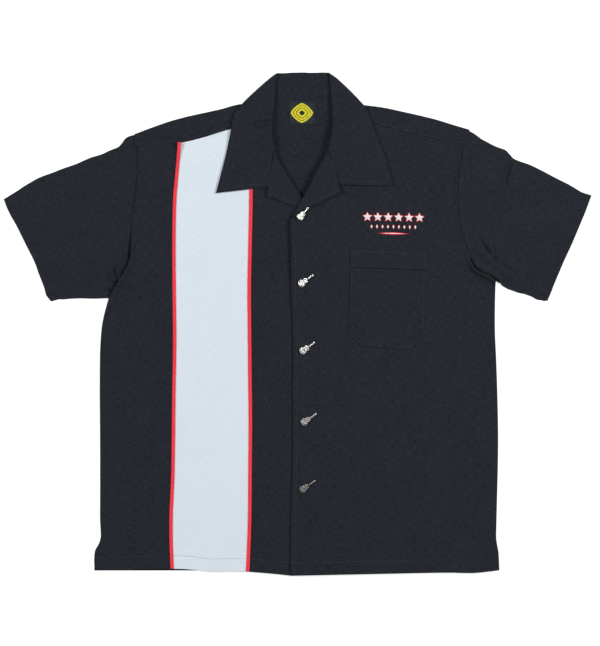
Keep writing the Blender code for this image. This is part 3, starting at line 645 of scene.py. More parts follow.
def placesGrain(along, across):
    return np.stack(np.meshgrid(across, along), axis=-1)


def settled(points, weight=1.0):
    # lays the creases and swells on a piece
    plane = points[..., :2]
    points[..., 2] += weight * (creased(plane, frontCreases) + undulating(plane))
    return points


def backSettled(points, weight=1.0):
    points[..., 2] += weight * np.maximum(creased(points[..., :2], backCreases), 0.0)


sideRows, armholeRows = 10, 12
allowance = 3.0     # how far a piece goes on under the one it is sewn to


def armholeLine(shoulder, hole):
    # two rows on the yoke, the rest down the front; the last stretch under the arm is straight
    low = np.vstack([curved(hole[:-1], armholeRows), [hole[-1]]])
    top = np.array([(shoulder[0][0], shoulder[0][1] - 1.0)], float)
    return np.vstack([top, (top[0] + low[0]) / 2, low])


def underSleeve(line, way, corner):
    # moves an edge out under the sleeve, up to the corner under the arm
    steps = np.linalg.norm(np.diff(line, axis=0), axis=1)
    togo = np.r_[np.cumsum(steps[:corner][::-1])[::-1], np.zeros(len(line) - corner)]
    return line + way * allowance * eased(togo / 9)[:, None] * leftOf(line)


holes, sides = {}, {}
for side in ("Right", "Left"):
    holes[side] = armholeLine(seamLines["shoulder" + side], seamLines["armhole" + side])
    sides[side] = np.vstack([curved(seamLines["side" + side], sideRows), seamLines["vent" + side]])

hemSizes = dict(depth=20.5, fold=0.32, groove=0.3)
hemMarks = tuple(step - hemSizes["depth"] for step in (-1.6, -0.8, 0.0, 0.8))


def hemmed(points, places):
    # two more layers of cloth up to the hem's stitch line, with a groove along it
    sizes = hemSizes
    distance = (places[-1] - places)[:, None]
    points[..., 2] += sizes["fold"] * eased((sizes["depth"] + 0.8 - distance) / 1.6)
    points[..., 2] -= sizes["groove"] * np.exp(-((distance - sizes["depth"]) / 0.7) ** 2)
    return points


seams = []          # the line, the piece it lies on and the kind of every row of stitches


def inset(points, distance, axis=0, end=False):
    # the line at this distance from one edge of a grid
    grid = np.moveaxis(points, axis, 0)
    grid = grid[::-1] if end else grid
    lengths = np.cumsum(np.linalg.norm(np.diff(grid, axis=0), axis=-1), axis=0)
    line = []
    for j in range(grid.shape[1]):
        k = int(np.searchsorted(lengths[:, j], distance))
        before = lengths[k - 1, j] if k else 0.0
        share = (distance - before) / max(lengths[k, j] - before, 1e-6)
        line.append(grid[k, j] * (1 - share) + grid[k + 1, j] * share)
    return np.array(line)


backSizes = dict(columns=12, cell=4.2, lap=0.55, atEdge=2.6, hemDrop=0.4)


def makeBack():
    sizes = backSizes
    edges = []
    for side, way in (("Right", -1), ("Left", 1)):
        hole = np.vstack([[crossingAt(holes[side], yokeY - 0.15)], holes[side][3:]])
        hole[0, 1] += 2 * allowance
        edges.append(underSleeve(cornered(hole, sides[side]), way, len(hole)))
        edges[-1][-1, 1] -= sizes["hemDrop"]
    xy = spanned(*edges, np.linspace(0, 1, sizes["columns"]))
    net = np.concatenate([xy, np.full(xy.shape[:2] + (1,), floorLayer)], axis=-1)
    fine, along, across = panel(net, sizes["cell"], seamMarks + hemMarks, seamMarks)
    backSettled(fine)
    atArms = eased((fine[..., 1] - 70) / 25)
    fine[..., 2] += sizes["lap"] * atArms * nearBoth(across, sizes["atEdge"])[None, :]
    piece = clothObject("backCloth", fine, fine[..., :2], finishes["blackCloth"])
    dressed(piece, "black_cloth", "back_body")


yokeSizes = dict(wing=8, neck=7, frontRows=3, backRows=6, edge=0.1, lap=0.6, stitch=2.4, setback=1.0,
                 neckRise=2.0, neckDip=0.5, neckReach=3.4)


def layInside(solid, xy, reach=1.2):
    # a net whose first row takes its heights a little inside the edge of the solid
    probe = xy.copy()
    probe[0, :, 1] += reach
    return np.concatenate([xy, solid.lay(probe)[..., 2:]], axis=-1)


def makeYoke():
    sizes = yokeSizes
    wing, neck, frontRows = sizes["wing"], sizes["neck"], sizes["frontRows"]
    right = curved(seamLines["shoulderRight"], wing) - (0.0, sizes["setback"])
    left = curved(seamLines["shoulderLeft"], wing)[::-1] - (0.0, sizes["setback"])
    back = curved(seamLines["neckBack"], neck + 2)[1:-1] + (0.0, sizes["neckRise"])
    ridge = np.vstack([right, back, left])
    x = np.linspace(crossingAt(holes["Right"], yokeY)[0], crossingAt(holes["Left"], yokeY)[0], len(ridge))
    seam = np.stack([x, np.full(len(ridge), yokeY - 0.6)], axis=1)
    backXy = spanned(ridge, seam, np.linspace(0, 1, sizes["backRows"])).transpose(1, 0, 2)
    for row in backXy:
        row[0, 0] = crossingAt(holes["Right"], row[0, 1])[0]
        row[-1, 0] = crossingAt(holes["Left"], row[-1, 1])[0]
    steps = np.linspace(0, 1, frontRows)
    frontRight = spanned(curved(seamLines["yokeFrontRight"], wing), right, steps).transpose(1, 0, 2)
    frontLeft = spanned(curved(seamLines["yokeFrontLeft"], wing)[::-1], left, steps).transpose(1, 0, 2)
    solid = solids["back_yoke"]
    frontRight, frontLeft = layInside(solid, frontRight), layInside(solid, frontLeft)
    backNet = solid.lay(backXy, -1)
    gap = spanned(frontRight[:, -1], frontLeft[:, 0], np.linspace(0, 1, neck + 2))[:, 1:-1]
    front = np.concatenate([frontRight, gap, frontLeft], axis=1)
    turn = np.array(folded(front[-1], backNet[0], leftOf(ridge)))
    turn[:, wing:wing + neck] = backNet[0, wing:wing + neck]
    front[:, wing:wing + neck] = backNet[0, wing:wing + neck]
    net = np.concatenate([front, turn, backNet])
    for column, way in ((0, -1), (-1, 1)):
        net[:, column, 0] += way * allowance
    knots = knotsOf(net)
    openTo = knots[frontRows + len(turn)]
    fine, along = refined(net, marks=seamMarks + (openTo,), knots=knots)
    columns = knotsOf(fine, axis=1)
    firstNeck, lastNeck = columns[wing - 1], columns[wing + neck]
    fine, across = refined(fine, marks=seamMarks + (firstNeck, lastNeck), axis=1, knots=columns)

    def keep(i, j):
        return along[i] >= openTo - 0.05 or across[j + 1] <= firstNeck + 0.05 or across[j] >= lastNeck - 0.05

    upper = eased((openTo - along) / 12)[:, None]
    atNeck = ((across > firstNeck) & (across < lastNeck))[None, :]
    atNeck = atNeck * np.exp(-((along - openTo) / sizes["neckReach"]) ** 2)[:, None]
    settled(fine, weight=upper)
    fine[..., 2] -= sizes["edge"] * nearEdge(along, "start", 1.0)[:, None]
    fine[..., 2] += sizes["lap"] * eased((9 - (along[-1] - along)) / 4)[:, None]
    fine[..., 2] -= sizes["neckDip"] * atNeck
    arms = nearBoth(across, backSizes["atEdge"])
    fine[..., 2] += sizes["lap"] * arms[None, :] * np.where(upper > 0.5, -1.0, 1.0)
    piece = clothObject("yokeCloth", fine, placesGrain(along, across), finishes["blackCloth"], keep=keep)
    dressed(piece, "black_cloth", "back_yoke")
    line = inset(fine, sizes["stitch"])
    seams.append((line[across <= firstNeck - 6], "yokeCloth", "light"))
    seams.append((line[across >= lastNeck + 6], "yokeCloth", "light"))


def underYoke(xy, node, side):
    # a front on its solid, with two rows more that go on under the yoke
    seam = curved(seamLines["yokeFront" + side], 8)
    order = np.argsort(seam[:, 0])
    seamY = np.interp(xy[0, :, 0], seam[order, 0], seam[order, 1])
    xy[0, :, 1] = seamY - 1.2
    net = solids[node].lay(xy)
    atSeam = np.stack([xy[0, :, 0], seamY + 0.8], axis=-1)[None]
    level = np.minimum(solids["back_yoke"].lay(atSeam)[0, :, 2], net[0, :, 2])
    # each row by its place past the seam and its depth below the yoke
    rows = [np.stack([xy[0, :, 0], seamY + past, level - depth], axis=-1)
            for past, depth in ((allowance, 0.85), (0.6, 0.6))]
    net[0, :, 2] = level - 0.1
    return np.concatenate([np.array(rows), net])


def makeFront(name, node, net, finish, slot, dips, marks=(), rows=()):
    fine, along, across = panel(net, clothCell, seamMarks + hemMarks + rows, seamMarks + marks, dips)
    hemmed(settled(fine), along)
    piece = clothObject(name, fine, fine[..., :2], finishes[finish])
    dressed(piece, slot, node)
    kind = "plain" if finish == "paleCloth" else "hem"
    seams.append((inset(fine, hemSizes["depth"], end=True), name, kind))
    return fine


frontSizes = dict(columns=7, setback=2.8, edgeStitch=6.3, stitchTop=158.0, lifted=("first", -0.8, 6.0),
                  sideSeam=("first", 0.45, 1.5), seam=("last", 0.45, 1.5),
                  pipedFirst=("first", 0.85, 1.6), pipedLast=("last", 0.85, 1.6),
                  hemLeft=[(-11, 0), (230, -1.2), (285, -3.4), (304, -2.6), (318, 0)],
                  hemPanel=[(-197, 0), (-170, 0.6), (-157, -0.8), (-140, -2.6), (-110, -1.3), (-78, 0)],
                  hemCentre=[(-79, 0), (-40, -1.0), (-10, -2.2), (7, 0.5), (24, 2.0)],
                  leftSteps=[0.0, 0.02, 0.05, 0.1, 0.17, 0.26, 0.37, 0.5, 0.63, 0.76, 0.88, 1.0])


nearArm = tuple(np.arange(5.0, 34.0, 1.8))      # closer rows and columns around the creases under the arms
armRows = tuple(np.arange(178.0, 262.0, 1.8))
lapelRows = tuple(np.arange(76.0, 132.0, 2.0))


def frontEdge(side, edgeCount):
    neck = curved(seamLines["neck" + side][2:], 5)
    way = -1 if side == "Right" else 1
    roll = shifted(curved(seamLines["roll" + side], 8), way * frontSizes["setback"])
    edge = curved(seamLines["edge" + side][1:], edgeCount)
    return cornered(np.vstack([neck, roll[1:], edge[:1]]), edge)


def hemShaped(xy, drops):
    xy[-1, :, 1] += np.interp(xy[-1, :, 0], *np.transpose(drops))
    return xy


def makeFronts():
    sizes = frontSizes
    steps = np.linspace(0, 1, sizes["columns"])
    sideEdge = underSleeve(cornered(holes["Right"][2:], sides["Right"]), -1, len(holes["Right"]) - 2)
    outer = shifted(curved(seamLines["panelOuter"], len(sideEdge)), 1.5)
    xy = underYoke(spanned(sideEdge, outer, steps), "front_right_side", "Right")
    makeFront("frontRightSide", "front_right_side", xy, "blackCloth", "black_cloth",
              (sizes["sideSeam"], sizes["pipedLast"]), nearArm, armRows)
    outer, inner = curved(seamLines["panelOuter"], 24), curved(seamLines["panelInner"], 24)
    xy = hemShaped(spanned(shifted(outer, -1.0), shifted(inner, 1.0), steps), sizes["hemPanel"])
    xy = underYoke(xy, "front_right_panel", "Right")
    makeFront("frontRightPanel", "front_right_panel", xy, "paleCloth", "pale_cloth",
              (sizes["sideSeam"], sizes["seam"]))
    front = frontEdge("Right", 14)
    inner = shifted(curved(seamLines["panelInner"], len(front)), -1.5)
    xy = underYoke(hemShaped(spanned(inner, front, steps), sizes["hemCentre"]), "front_right_centre", "Right")
    makeFront("frontRightCentre", "front_right_centre", xy, "blackCloth", "black_cloth",
              [sizes["pipedFirst"]])
    sideEdge = underSleeve(cornered(holes["Left"][2:], sides["Left"]), 1, len(holes["Left"]) - 2)
    front = frontEdge("Left", len(sideEdge) - 14)
    xy = hemShaped(spanned(front, sideEdge, sizes["leftSteps"]), sizes["hemLeft"])
    xy = underYoke(xy, "front_left", "Left")
    columns = (5.5, 6.3, 7.1) + tuple(-mark for mark in nearArm)
    fine = makeFront("frontLeft", "front_left", xy, "blackCloth", "black_cloth",
                     (sizes["seam"], sizes["lifted"]), columns, armRows + lapelRows)
    edgeLine = inset(fine, sizes["edgeStitch"], axis=1)
    seams.append((edgeLine[edgeLine[:, 1] < sizes["stitchTop"]], "frontLeft", "light"))


makeBack()
makeYoke()
makeFronts()
print("back, yoke and fronts made")


# Lapels and collar.

lapelSizes = dict(sections=9, inside=3, steps=6, lift=1.2, depth=14.0, under=3.5, sewnDrop=0.9, sewnDip=0.35,
                  tipLift=2.0, tipReach=22.0, liftRight=0.6, liftLeft=2.8, edgeReach=7.0,
                  Right=[(-48.5, 203.5), (-46, 199), (-39, 198), (-31, 195.5), (-23, 192), (-15, 188.5),
                         (-8, 186), (-1, 183), (6, 180)],
                  Left=[(67.5, 206.5), (60, 202.5), (51, 198.5), (42, 193.5), (33, 189.5), (24, 185.5),
                        (15, 181), (6, 176.5), (-3, 171.5)])


class Lapel:
    def __init__(self, side, way):
        sizes = lapelSizes
        self.side = side
        count = sizes["sections"]
        line = curved(seamLines["roll" + side], count)
        lift = sizes["lift"] * eased(1.2 - np.linspace(0, 1, count))
        self.free = np.array(sizes[side], float)
        self.bulge = -way * leftOf(line)
        self.ridge = line - self.bulge * (wall / 2 + ply + lift / 2)[:, None]
        depth = np.minimum(sizes["depth"], 0.9 * np.linalg.norm(self.free - self.ridge, axis=1))
        self.hidden = self.ridge - self.bulge * depth[:, None]

    def make(self):
        sizes = lapelSizes
        solid = solids["facing_" + self.side.lower()]
        inside = solid.lay(spanned(self.hidden, self.ridge, np.linspace(0, 1, sizes["inside"])), 1)
        upper = solid.lay(spanned(self.ridge, self.free, np.linspace(0, 1, sizes["steps"]) ** 1.3), 0)
        rolled = np.stack(folded(inside[:, -1], upper[:, 0], self.bulge, 10), axis=1)
        net = np.concatenate([inside, rolled, upper], axis=1)
        fine, along = refined(net, 2.6, seamMarks[:4])
        fine, across = refined(fine, 2.0, seamMarks[4:], axis=1, stiff=20.0)
        # the corner stands clear, and the sewn part of the top edge goes on under the collar
        reach = np.linalg.norm(fine[..., :2] - self.free[0], axis=-1)
        fine[..., 2] += sizes["tipLift"] * np.exp(-(reach / sizes["tipReach"]) ** 2)
        fine[..., 2] += sizes["lift" + self.side] * nearEdge(across, "end", sizes["edgeReach"])[None, :]
        notch = collarSizes["notch" + self.side]
        sewn = eased((fine[0, :, 1] - notch - 1) / 3) * eased((len(across) - 1 - np.arange(len(across))) / 2)
        under = fine[0] + (fine[0] - fine[3]) * (sizes["under"] * sewn / along[3])[:, None]
        under[:, 2] = fine[0, :, 2] - sizes["sewnDrop"] * sewn
        fine[0, :, 2] -= sizes["sewnDip"] * sewn
        fine = np.concatenate([under[None], fine])
        fine[0] += (1.0 - sewn)[:, None] * (fine[1] - fine[2]) * 0.3
        along = np.r_[-sizes["under"], along]
        name = "lapel" + self.side
        piece = clothObject(name, fine, placesGrain(along, across), finishes["blackCloth"])
        dressed(piece, "black_cloth", "facing_" + self.side.lower())
        self.outline = np.vstack([evenly(fine[1][sewn < 0.5], 4), fine[2:, -1]])


def offsetLine(outline, distance):
    # a line beside an outline; what comes nearer than the distance at a corner is left out
    line = shifted(outline, distance)
    gaps = np.linalg.norm(line[:, None] - outline[None], axis=-1).min(axis=1)
    return line[gaps > abs(distance) - 0.12]


collarSizes = dict(stand=3, fall=6, gorge=5, roll=8, back=9, lift=3.6, liftRight=-0.6, liftLeft=0.4,
                   edgeReach=7.0, tipReach=35.0, wrap=0.45, stitch=5.8, gorgeStitch=1.5, sewn=0.85, sunk=0.55,
                   rollRight=[(-36, 272.5), (-39, 292), (-41, 309), (-39, 328), (-37, 350), (-35, 372),
                              (-34, 390)],
                   rollLeft=[(49, 272.5), (52, 288), (55, 309), (55, 330), (54, 350), (52, 372), (51, 390)],
                   edgeRight=[(-128.5, 206), (-120.5, 236), (-113, 266), (-108, 289), (-104, 310),
                              (-97.5, 334), (-92, 344.5)],
                   edgeLeft=[(150, 217.5), (146, 236), (139, 259), (131, 281), (123, 301), (114.5, 325),
                             (106.5, 345.5)],
                   backFold=[(-31, 395.9), (-12, 396.2), (9, 396.6), (30, 396.8), (49, 396.8)],
                   backEdge=[(-91, 341), (-60, 334), (9, 329), (75, 334), (108, 344)],
                   cornerRight=(-32.6, 393.8), cornerLeft=(50.8, 394.4), shoulderRight=(-63, 350),
                   shoulderLeft=(81, 350), notchRight=215.4, notchLeft=219.0)

collarCreases = [
    dict(path=[(-72, 309), (-66, 314.5), (-60, 317.5), (-52, 318.5), (-41, 318)],
         height=-7.0, width=1.8, fade=(0.4, 0.1)),
    dict(path=[(-72, 318), (-62, 325), (-50, 327), (-38, 326)], height=1.0, width=3.0),
    dict(path=[(-96, 300), (-80, 270), (-76, 238)], height=0.35, width=9),
    dict(path=[(108, 300), (96, 268), (98, 240)], height=-0.35, width=8),
    dict(path=[(62, 352), (66, 318), (64, 285)], height=0.3, width=5),
    dict(path=[(-110, 232), (-90, 226), (-66, 228)], height=-0.3, width=6),
    dict(path=[(126, 236), (108, 230), (88, 232)], height=0.3, width=6),
]


class Collar:
    # sections run from the neck seam up the stand, over the roll and out along the fall
    def __init__(self):
        sizes = collarSizes
        self.solid = solids["collar"]
        right, left = self.half("Right", 1), self.half("Left", -1)
        fold = curved(sizes["backFold"], sizes["back"])
        fold[:, 1] -= wall / 2 + ply / 2
        edge = curved(sizes["backEdge"], sizes["back"] + 2)[1:-1]
        neck = curved(seamLines["neckBack"], sizes["back"] + 2)[1:-1] + (0.0, 0.3)
        fold = np.vstack([right["ridge"][-1], fold, left["ridge"][-1]])
        edge = np.vstack([right["edge"][-1], edge, left["edge"][-1]])
        neck = np.vstack([right["neck"][-1], neck, left["neck"][-1]])
        bulge = leftOf(fold)
        bulge[0], bulge[-1] = right["bulge"][-1], left["bulge"][-1]
        bulge[1], bulge[-2] = unit(bulge[0] + bulge[2]), unit(bulge[-1] + bulge[-3])
        stand = self.solid.lay(spanned(neck, fold, np.linspace(0, 1, sizes["stand"])), -2)
        fall = self.solid.lay(spanned(fold, edge, np.linspace(0, 1, sizes["fall"])), -1)
        stand[..., 2] = np.minimum(stand[..., 2], 1.8)
        stand[:, 0, 2] = sizes["sewn"]
        self.back = self.section(stand, fall, bulge)
        self.right, self.left = right, left

    def half(self, side, way):
        sizes = collarSizes
        count, gorgeCount = sizes["roll"], sizes["gorge"]
        line = curved(sizes["roll" + side], count)
        lift = sizes["lift"] * eased(np.linspace(1, 0, count) / 0.6)
        lift[:2] *= (0.7, 0.9)
        inward = way * leftOf(line)
        ridge = line + inward * (wall / 2 + (ply + lift) / 2)[:, None]
        edge = curved(sizes["edge" + side], gorgeCount + count - 1)
        ridge[-1] = sizes["corner" + side]
        edge[-1] += (way * 1.6, -1.6)
        bulge = -inward
        bulge[-1] = unit(ridge[-1] - edge[-1])
        bulge[-2] = unit(bulge[-1] + 2 * bulge[-3])
        tip, top = lapels[side].free[0], lapels[side].ridge[0]
        notch = tip + (top - tip) * (sizes["notch" + side] - tip[1]) / (top[1] - tip[1])
        lapels[side].gorge = evenly([notch, top], 12)[1:-1]
        gorge = shifted(evenly([notch, top], gorgeCount), way * 0.6)[:-1]
        neck = shifted(curved(seamLines["neck" + side], count + 2)[1:-1][::-1], -way * 0.8)
        neck[-1] = sizes["shoulder" + side]
        steps = np.linspace(0, 1, sizes["fall"]) ** 1.4
        fall = self.solid.lay(spanned(np.vstack([gorge, ridge]), edge, steps), 0)
        stand = self.solid.lay(spanned(neck, ridge, np.linspace(0, 1, sizes["stand"])), 1)
        full = self.section(stand, fall[len(gorge):], bulge)
        return dict(ridge=ridge, edge=edge, bulge=bulge, neck=neck, full=full, gorge=fall[:len(gorge)])

    def section(self, stand, fall, bulge):
        rolled = np.stack(folded(stand[:, -1], fall[:, 0], bulge, 10), axis=1)
        return np.concatenate([stand, rolled, fall], axis=1)

    def outward(self, row, way):
        ahead = unit(row[-1, :2] - row[collarSizes["stand"] - 1, :2])
        return np.repeat([way * np.array([ahead[1], -ahead[0]])], len(row), axis=0) * collarSizes["wrap"]

    def make(self):
        sizes = collarSizes
        right, left = self.right["full"], self.left["full"][::-1]
        overRight = folded(right[-1], self.back[0], self.outward(right[-1], 1.0), 5)
        overLeft = folded(self.back[-1], left[0], self.outward(left[0], -1.0), 5)
        full = np.concatenate([right, overRight, self.back, overLeft, left])
        fall = np.concatenate([self.right["gorge"], full[:, -sizes["fall"]:], self.left["gorge"][::-1]])
        knots, gorge = knotsOf(fall), len(self.right["gorge"])
        fall, along = refined(fall, 1.9, seamMarks + (knots[gorge], knots[-1 - gorge]), knots=knots)
        first, last = [int(np.argmin(abs(along - knots[k]))) for k in (gorge, -1 - gorge)]
        inner = full[:, :full.shape[1] - sizes["fall"] + 1]
        inner = refined(inner, knots=knots[gorge:-gorge], places=along[first:last + 1])[0]
        fall, across = refined(fall, 1.9, seamMarks[4:], axis=1, stiff=20.0)
        inner, under = refined(inner, 2.6, axis=1, stiff=20.0)
        start = len(under) - 1
        fine = np.repeat(fall[:, :1], start, axis=1)
        fine[first:last + 1] = inner[:, :-1]
        fine = np.concatenate([fine, fall], axis=1)
        onRight = eased((knots[gorge + len(right) - 1] - along) / 10)
        onLeft = eased((along - knots[-gorge - len(left)]) / 10)
        fromFold = np.r_[under[:-1] * 0, across]
        weight = (onRight + onLeft)[:, None] * eased(fromFold / 3)[None, :]
        fine[..., 2] += weight * creased(fine[..., :2], collarCreases)
        lifts = onRight * sizes["liftRight"] + onLeft * sizes["liftLeft"]
        fine[..., 2] += lifts[:, None] * nearEdge(fromFold, "end", sizes["edgeReach"])[None, :]
        toGorge = eased((knots[gorge] - along) / 6) + eased((along - knots[-1 - gorge]) / 6)
        fine[:, start:, 2] -= sizes["sunk"] * toGorge[:, None] * nearEdge(across, "start", 2.0)[None, :]
        for half, side in ((self.right, "Right"), (self.left, "Left")):
            reach = np.linalg.norm(fine[..., :2] - half["edge"][0], axis=-1)
            fine[..., 2] += 0.5 * abs(sizes["lift" + side]) * np.exp(-(reach / sizes["tipReach"]) ** 2)

        def keep(i, j):
            return j >= start or first <= i < last

        whole = np.r_[under[:-1], under[-1] + across]
        piece = clothObject("collarCloth", fine, placesGrain(along, whole), finishes["blackCloth"], keep=keep)
        dressed(piece, "black_cloth", "collar")
        count = int(np.searchsorted(along, knots[gorge + len(right) - 1]))
        for rows, way in ((fine[:count, :, :2], 1), (fine[-1:-count:-1, :, :2], -1)):
            outline = np.vstack([rows[0, start:], rows[1:, -1]])
            seams.append((offsetLine(evenly(outline, 120), -way * sizes["stitch"]), "collarCloth", "light"))
        for side, way in (("Right", 1), ("Left", -1)):
            line = lapels[side].gorge
            seams.append((shifted(line, way * (0.6 + sizes["gorgeStitch"])), "collarCloth", "light"))
            seams.append((shifted(line, -way * sizes["gorgeStitch"])[:-1], "lapel" + side, "light"))


lapels = {"Right": Lapel("Right", -1), "Left": Lapel("Left", 1)}
for lapel in lapels.values():
    lapel.make()
Collar().make()
print("lapels and collar made")


# Sleeves: flat tubes from the armhole to the cuff.

sleeveSizes = dict(rings=27, edge=0.5, row=1.8,
                   topRight=[(-254, 299), (-266, 295.5), (-273.5, 291), (-281, 280), (-292, 275),
                             (-311, 267.5), (-330, 260.5), (-349, 252), (-368, 245.5), (-387, 238),
                             (-406, 231), (-425, 220.5), (-444, 209.5), (-463.5, 197.5)],
                   topLeft=[(268, 306), (276, 302.5), (294, 289.5), (313, 279.5), (331, 271.6),
                            (337.5, 263), (351, 257), (370, 249), (389, 239.5), (407, 230), (426, 220.5),
                            (445, 210), (463.5, 203.5)],
                   underRight=[(-297.5, 41), (-320, 40), (-345, 40.4), (-366, 39), (-377.5, 37.4),
                               (-388, 34.5)],
                   underLeft=[(312, 71), (323, 60.5), (331, 55.5), (339, 52.2), (347, 49.2), (362.5, 44.4),
                              (378, 38.2), (387, 36), (394.8, 37.2)],
                   cuffRight=[(-463.5, 196), (-453, 173), (-442.5, 154.5), (-433, 135.5), (-423.5, 116.5),
                              (-414, 97.5), (-407.5, 79), (-400, 60), (-393.5, 41), (-388, 34.5)],
                   cuffLeft=[(463.5, 203.5), (453.5, 176.5), (445.5, 157.5), (437.5, 138.5), (429.5, 120),
                             (420.5, 101), (412.5, 82), (404.5, 63), (399.2, 49), (394.8, 37.2)])


def makeSleeve(side, way):
    sizes = sleeveSizes
    start = shifted(holes[side], 0.3 * way)
    start[-1] += (0.0, 0.6)
    count = len(start)
    end = curved(sizes["cuff" + side], count)
    depth = wall / 2 + ply / 2
    upper = shifted(curved(sizes["top" + side], sizes["rings"]), -depth * way)
    lower = shifted(curved(sizes["under" + side], sizes["rings"]), depth * way)
    end[0], end[-1] = upper[-1], lower[-1]
    upper[0], lower[0] = start[0], start[-1]
    s, t = np.linspace(0, 1, sizes["rings"])[:, None, None], np.linspace(0, 1, count)[None, :, None]
    corners = (1 - s) * (1 - t) * start[0] + (1 - s) * t * start[-1] + s * (1 - t) * end[0] + s * t * end[-1]
    xy = (1 - t) * upper[:, None] + t * lower[:, None] + (1 - s) * start[None] + s * end[None] - corners
    solid = solids["sleeve_" + side.lower()]
    front, back = solid.lay(xy, 0), solid.lay(xy, -1)
    columns = [front[:, k] for k in range(count)]
    columns += folded(front[:, -1], back[:, -1], -way * leftOf(front[:, -1, :2]))
    columns += [back[:, k] for k in reversed(range(count))]
    columns += folded(back[:, 0], front[:, 0], way * leftOf(front[:, 0, :2]))
    net = np.stack(columns, axis=1)
    underArm = knotsOf(net, axis=1)[count - 1]
    fine, along = refined(net, marks=seamMarks + nearArm + tuple(np.arange(34.0, 86.0, sizes["row"])))
    nearUnder = tuple(underArm - np.arange(1.5, 60.0, sizes["row"]))
    fine, across = refined(fine, marks=nearUnder, axis=1, closed=True)
    upperPart = (eased(across / 8) * eased((underArm - across) / 8))[None, :]
    lowerPart = (eased((across - underArm - 14) / 10) * eased((across[-1] - 8 - across) / 10))[None, :]
    settled(fine, weight=upperPart)
    backSettled(fine, lowerPart)
    fine[..., 2] -= upperPart * sizes["edge"] * nearEdge(along, "start", 1.4)[:, None]
    grain = placesGrain(along, across)
    piece = clothObject("sleeve" + side, fine, grain, finishes["blackCloth"], closed=True)
    dressed(piece, "black_cloth", "sleeve_" + side.lower())


makeSleeve("Right", -1)
makeSleeve("Left", 1)
print("sleeves made")


# Piping, pocket and label.

pipingSizes = dict(width=5.2, crown=0.4, tuck=0.75)


def makePiping(name, node, line):
    sizes = pipingSizes
    middle, half = curved(line, 24), sizes["width"] / 2
    xy = spanned(shifted(middle, -half), shifted(middle, half), np.linspace(0, 1, 3))
    fine, along = refined(solids[node].lay(xy), marks=hemMarks)
    fine, across = refined(fine, 0.6, axis=1)
    share = (across / across[-1] * 2 - 1)[None, :]
    fine[..., 2] += sizes["crown"] * (1 - share ** 2) - sizes["tuck"] * share ** 8
    hemmed(settled(fine), along)
    piece = clothObject(name, fine, placesGrain(along, across), finishes["redCloth"])
    dressed(piece, "red_piping", node)


makePiping("pipingOuter", "piping_outer", seamLines["panelOuter"])
makePiping("pipingInner", "piping_inner", seamLines["panelInner"])

pocketSizes = dict(left=[(83, 88), (82, 36), (81, -16), (101, -35)],
                   right=[(201, 83), (201, 32), (200, -18), (179, -41)],
                   bandLeft=[(83, 117), (83, 89.5)], bandRight=[(203, 112), (203, 84.5)],
                   tuck=0.9, stitch=2.0)


def rimOf(points, closed):
    # down the first column of a grid and round it, and back along its first row if closed
    edges = [points[:, 0], points[-1, 1:], points[::-1, -1][1:], points[0, ::-1][1:]]
    return np.vstack(edges if closed else edges[:3])[:, :2]


def makePocket():
    sizes = pocketSizes
    left = joined(evenly(sizes["left"][:3], 7), evenly(sizes["left"][2:], 3))
    right = joined(evenly(sizes["right"][:3], 7), evenly(sizes["right"][2:], 3))
    band = spanned(evenly(sizes["bandLeft"], 3), evenly(sizes["bandRight"], 3), np.linspace(0, 1, 7))
    body = spanned(left, right, np.linspace(0, 1, 7))
    for name, node, xy, flat, area in (("pocketBody", "pocket", body, (0.12, 0.13), 0.0148),
                                       ("pocketBand", "pocket_band", band, (0.121, 0.034), 0.0034)):
        net = solids[node].lay(xy)
        everywhere = [(side, sizes["tuck"], 1.4) for side in ("first", "last", "top", "bottom")]
        fine, along, across = panel(net, clothCell, seamMarks, seamMarks, everywhere)
        settled(fine)
        piece = clothObject(name, fine, fine[..., :2], finishes["blackCloth"])
        dressed(piece, "black_cloth", node)
        line = evenly(rimOf(fine, closed=name == "pocketBand"), 200)
        seams.append((offsetLine(line, sizes["stitch"]), name, "light"))


makePocket()

labelSizes = dict(left=-13.0, right=27.0, top=350.0, bottom=315.0, clear=0.45, stitch=1.2)


def heightOn(names, x, y):
    # the highest of these finished pieces at a place, in mm
    hits = [surfaces[name].ray_cast((x * mm, y * mm, 1.0), (0.0, 0.0, -1.0))[0] for name in names]
    return max([hit.z / mm for hit in hits if hit is not None], default=0.0)


def makeLabel():
    sizes = labelSizes
    x = np.linspace(sizes["left"], sizes["right"], 33)
    y = np.linspace(sizes["top"], sizes["bottom"], 29)
    fine = np.stack(np.meshgrid(x, y), axis=-1)
    z = np.array([[heightOn(["yokeCloth"], *fine[i, j]) for j in range(len(x))] for i in range(len(y))])
    z = z.max() + sizes["clear"] + 0.12 * np.sin(fine[..., 0] * 0.19 + 1) * np.sin(fine[..., 1] * 0.13)
    fine = np.concatenate([fine, z[..., None]], axis=-1)
    middle = ((sizes["left"] + sizes["right"]) / 2, (sizes["top"] + sizes["bottom"]) / 2)
    piece = clothObject("neckLabel", fine, fine[..., :2] - middle, finishes["labelCloth"])
    dressed(piece, "label_cloth", "neck_label")
    seams.append((offsetLine(evenly(rimOf(fine, closed=True), 160), sizes["stitch"]), "neckLabel", "black"))


makeLabel()
print("piping, pocket and label made")


# Guitar buttons, a cast body with a raised rim, neck, head and fittings. Made along x, then turned and laid.

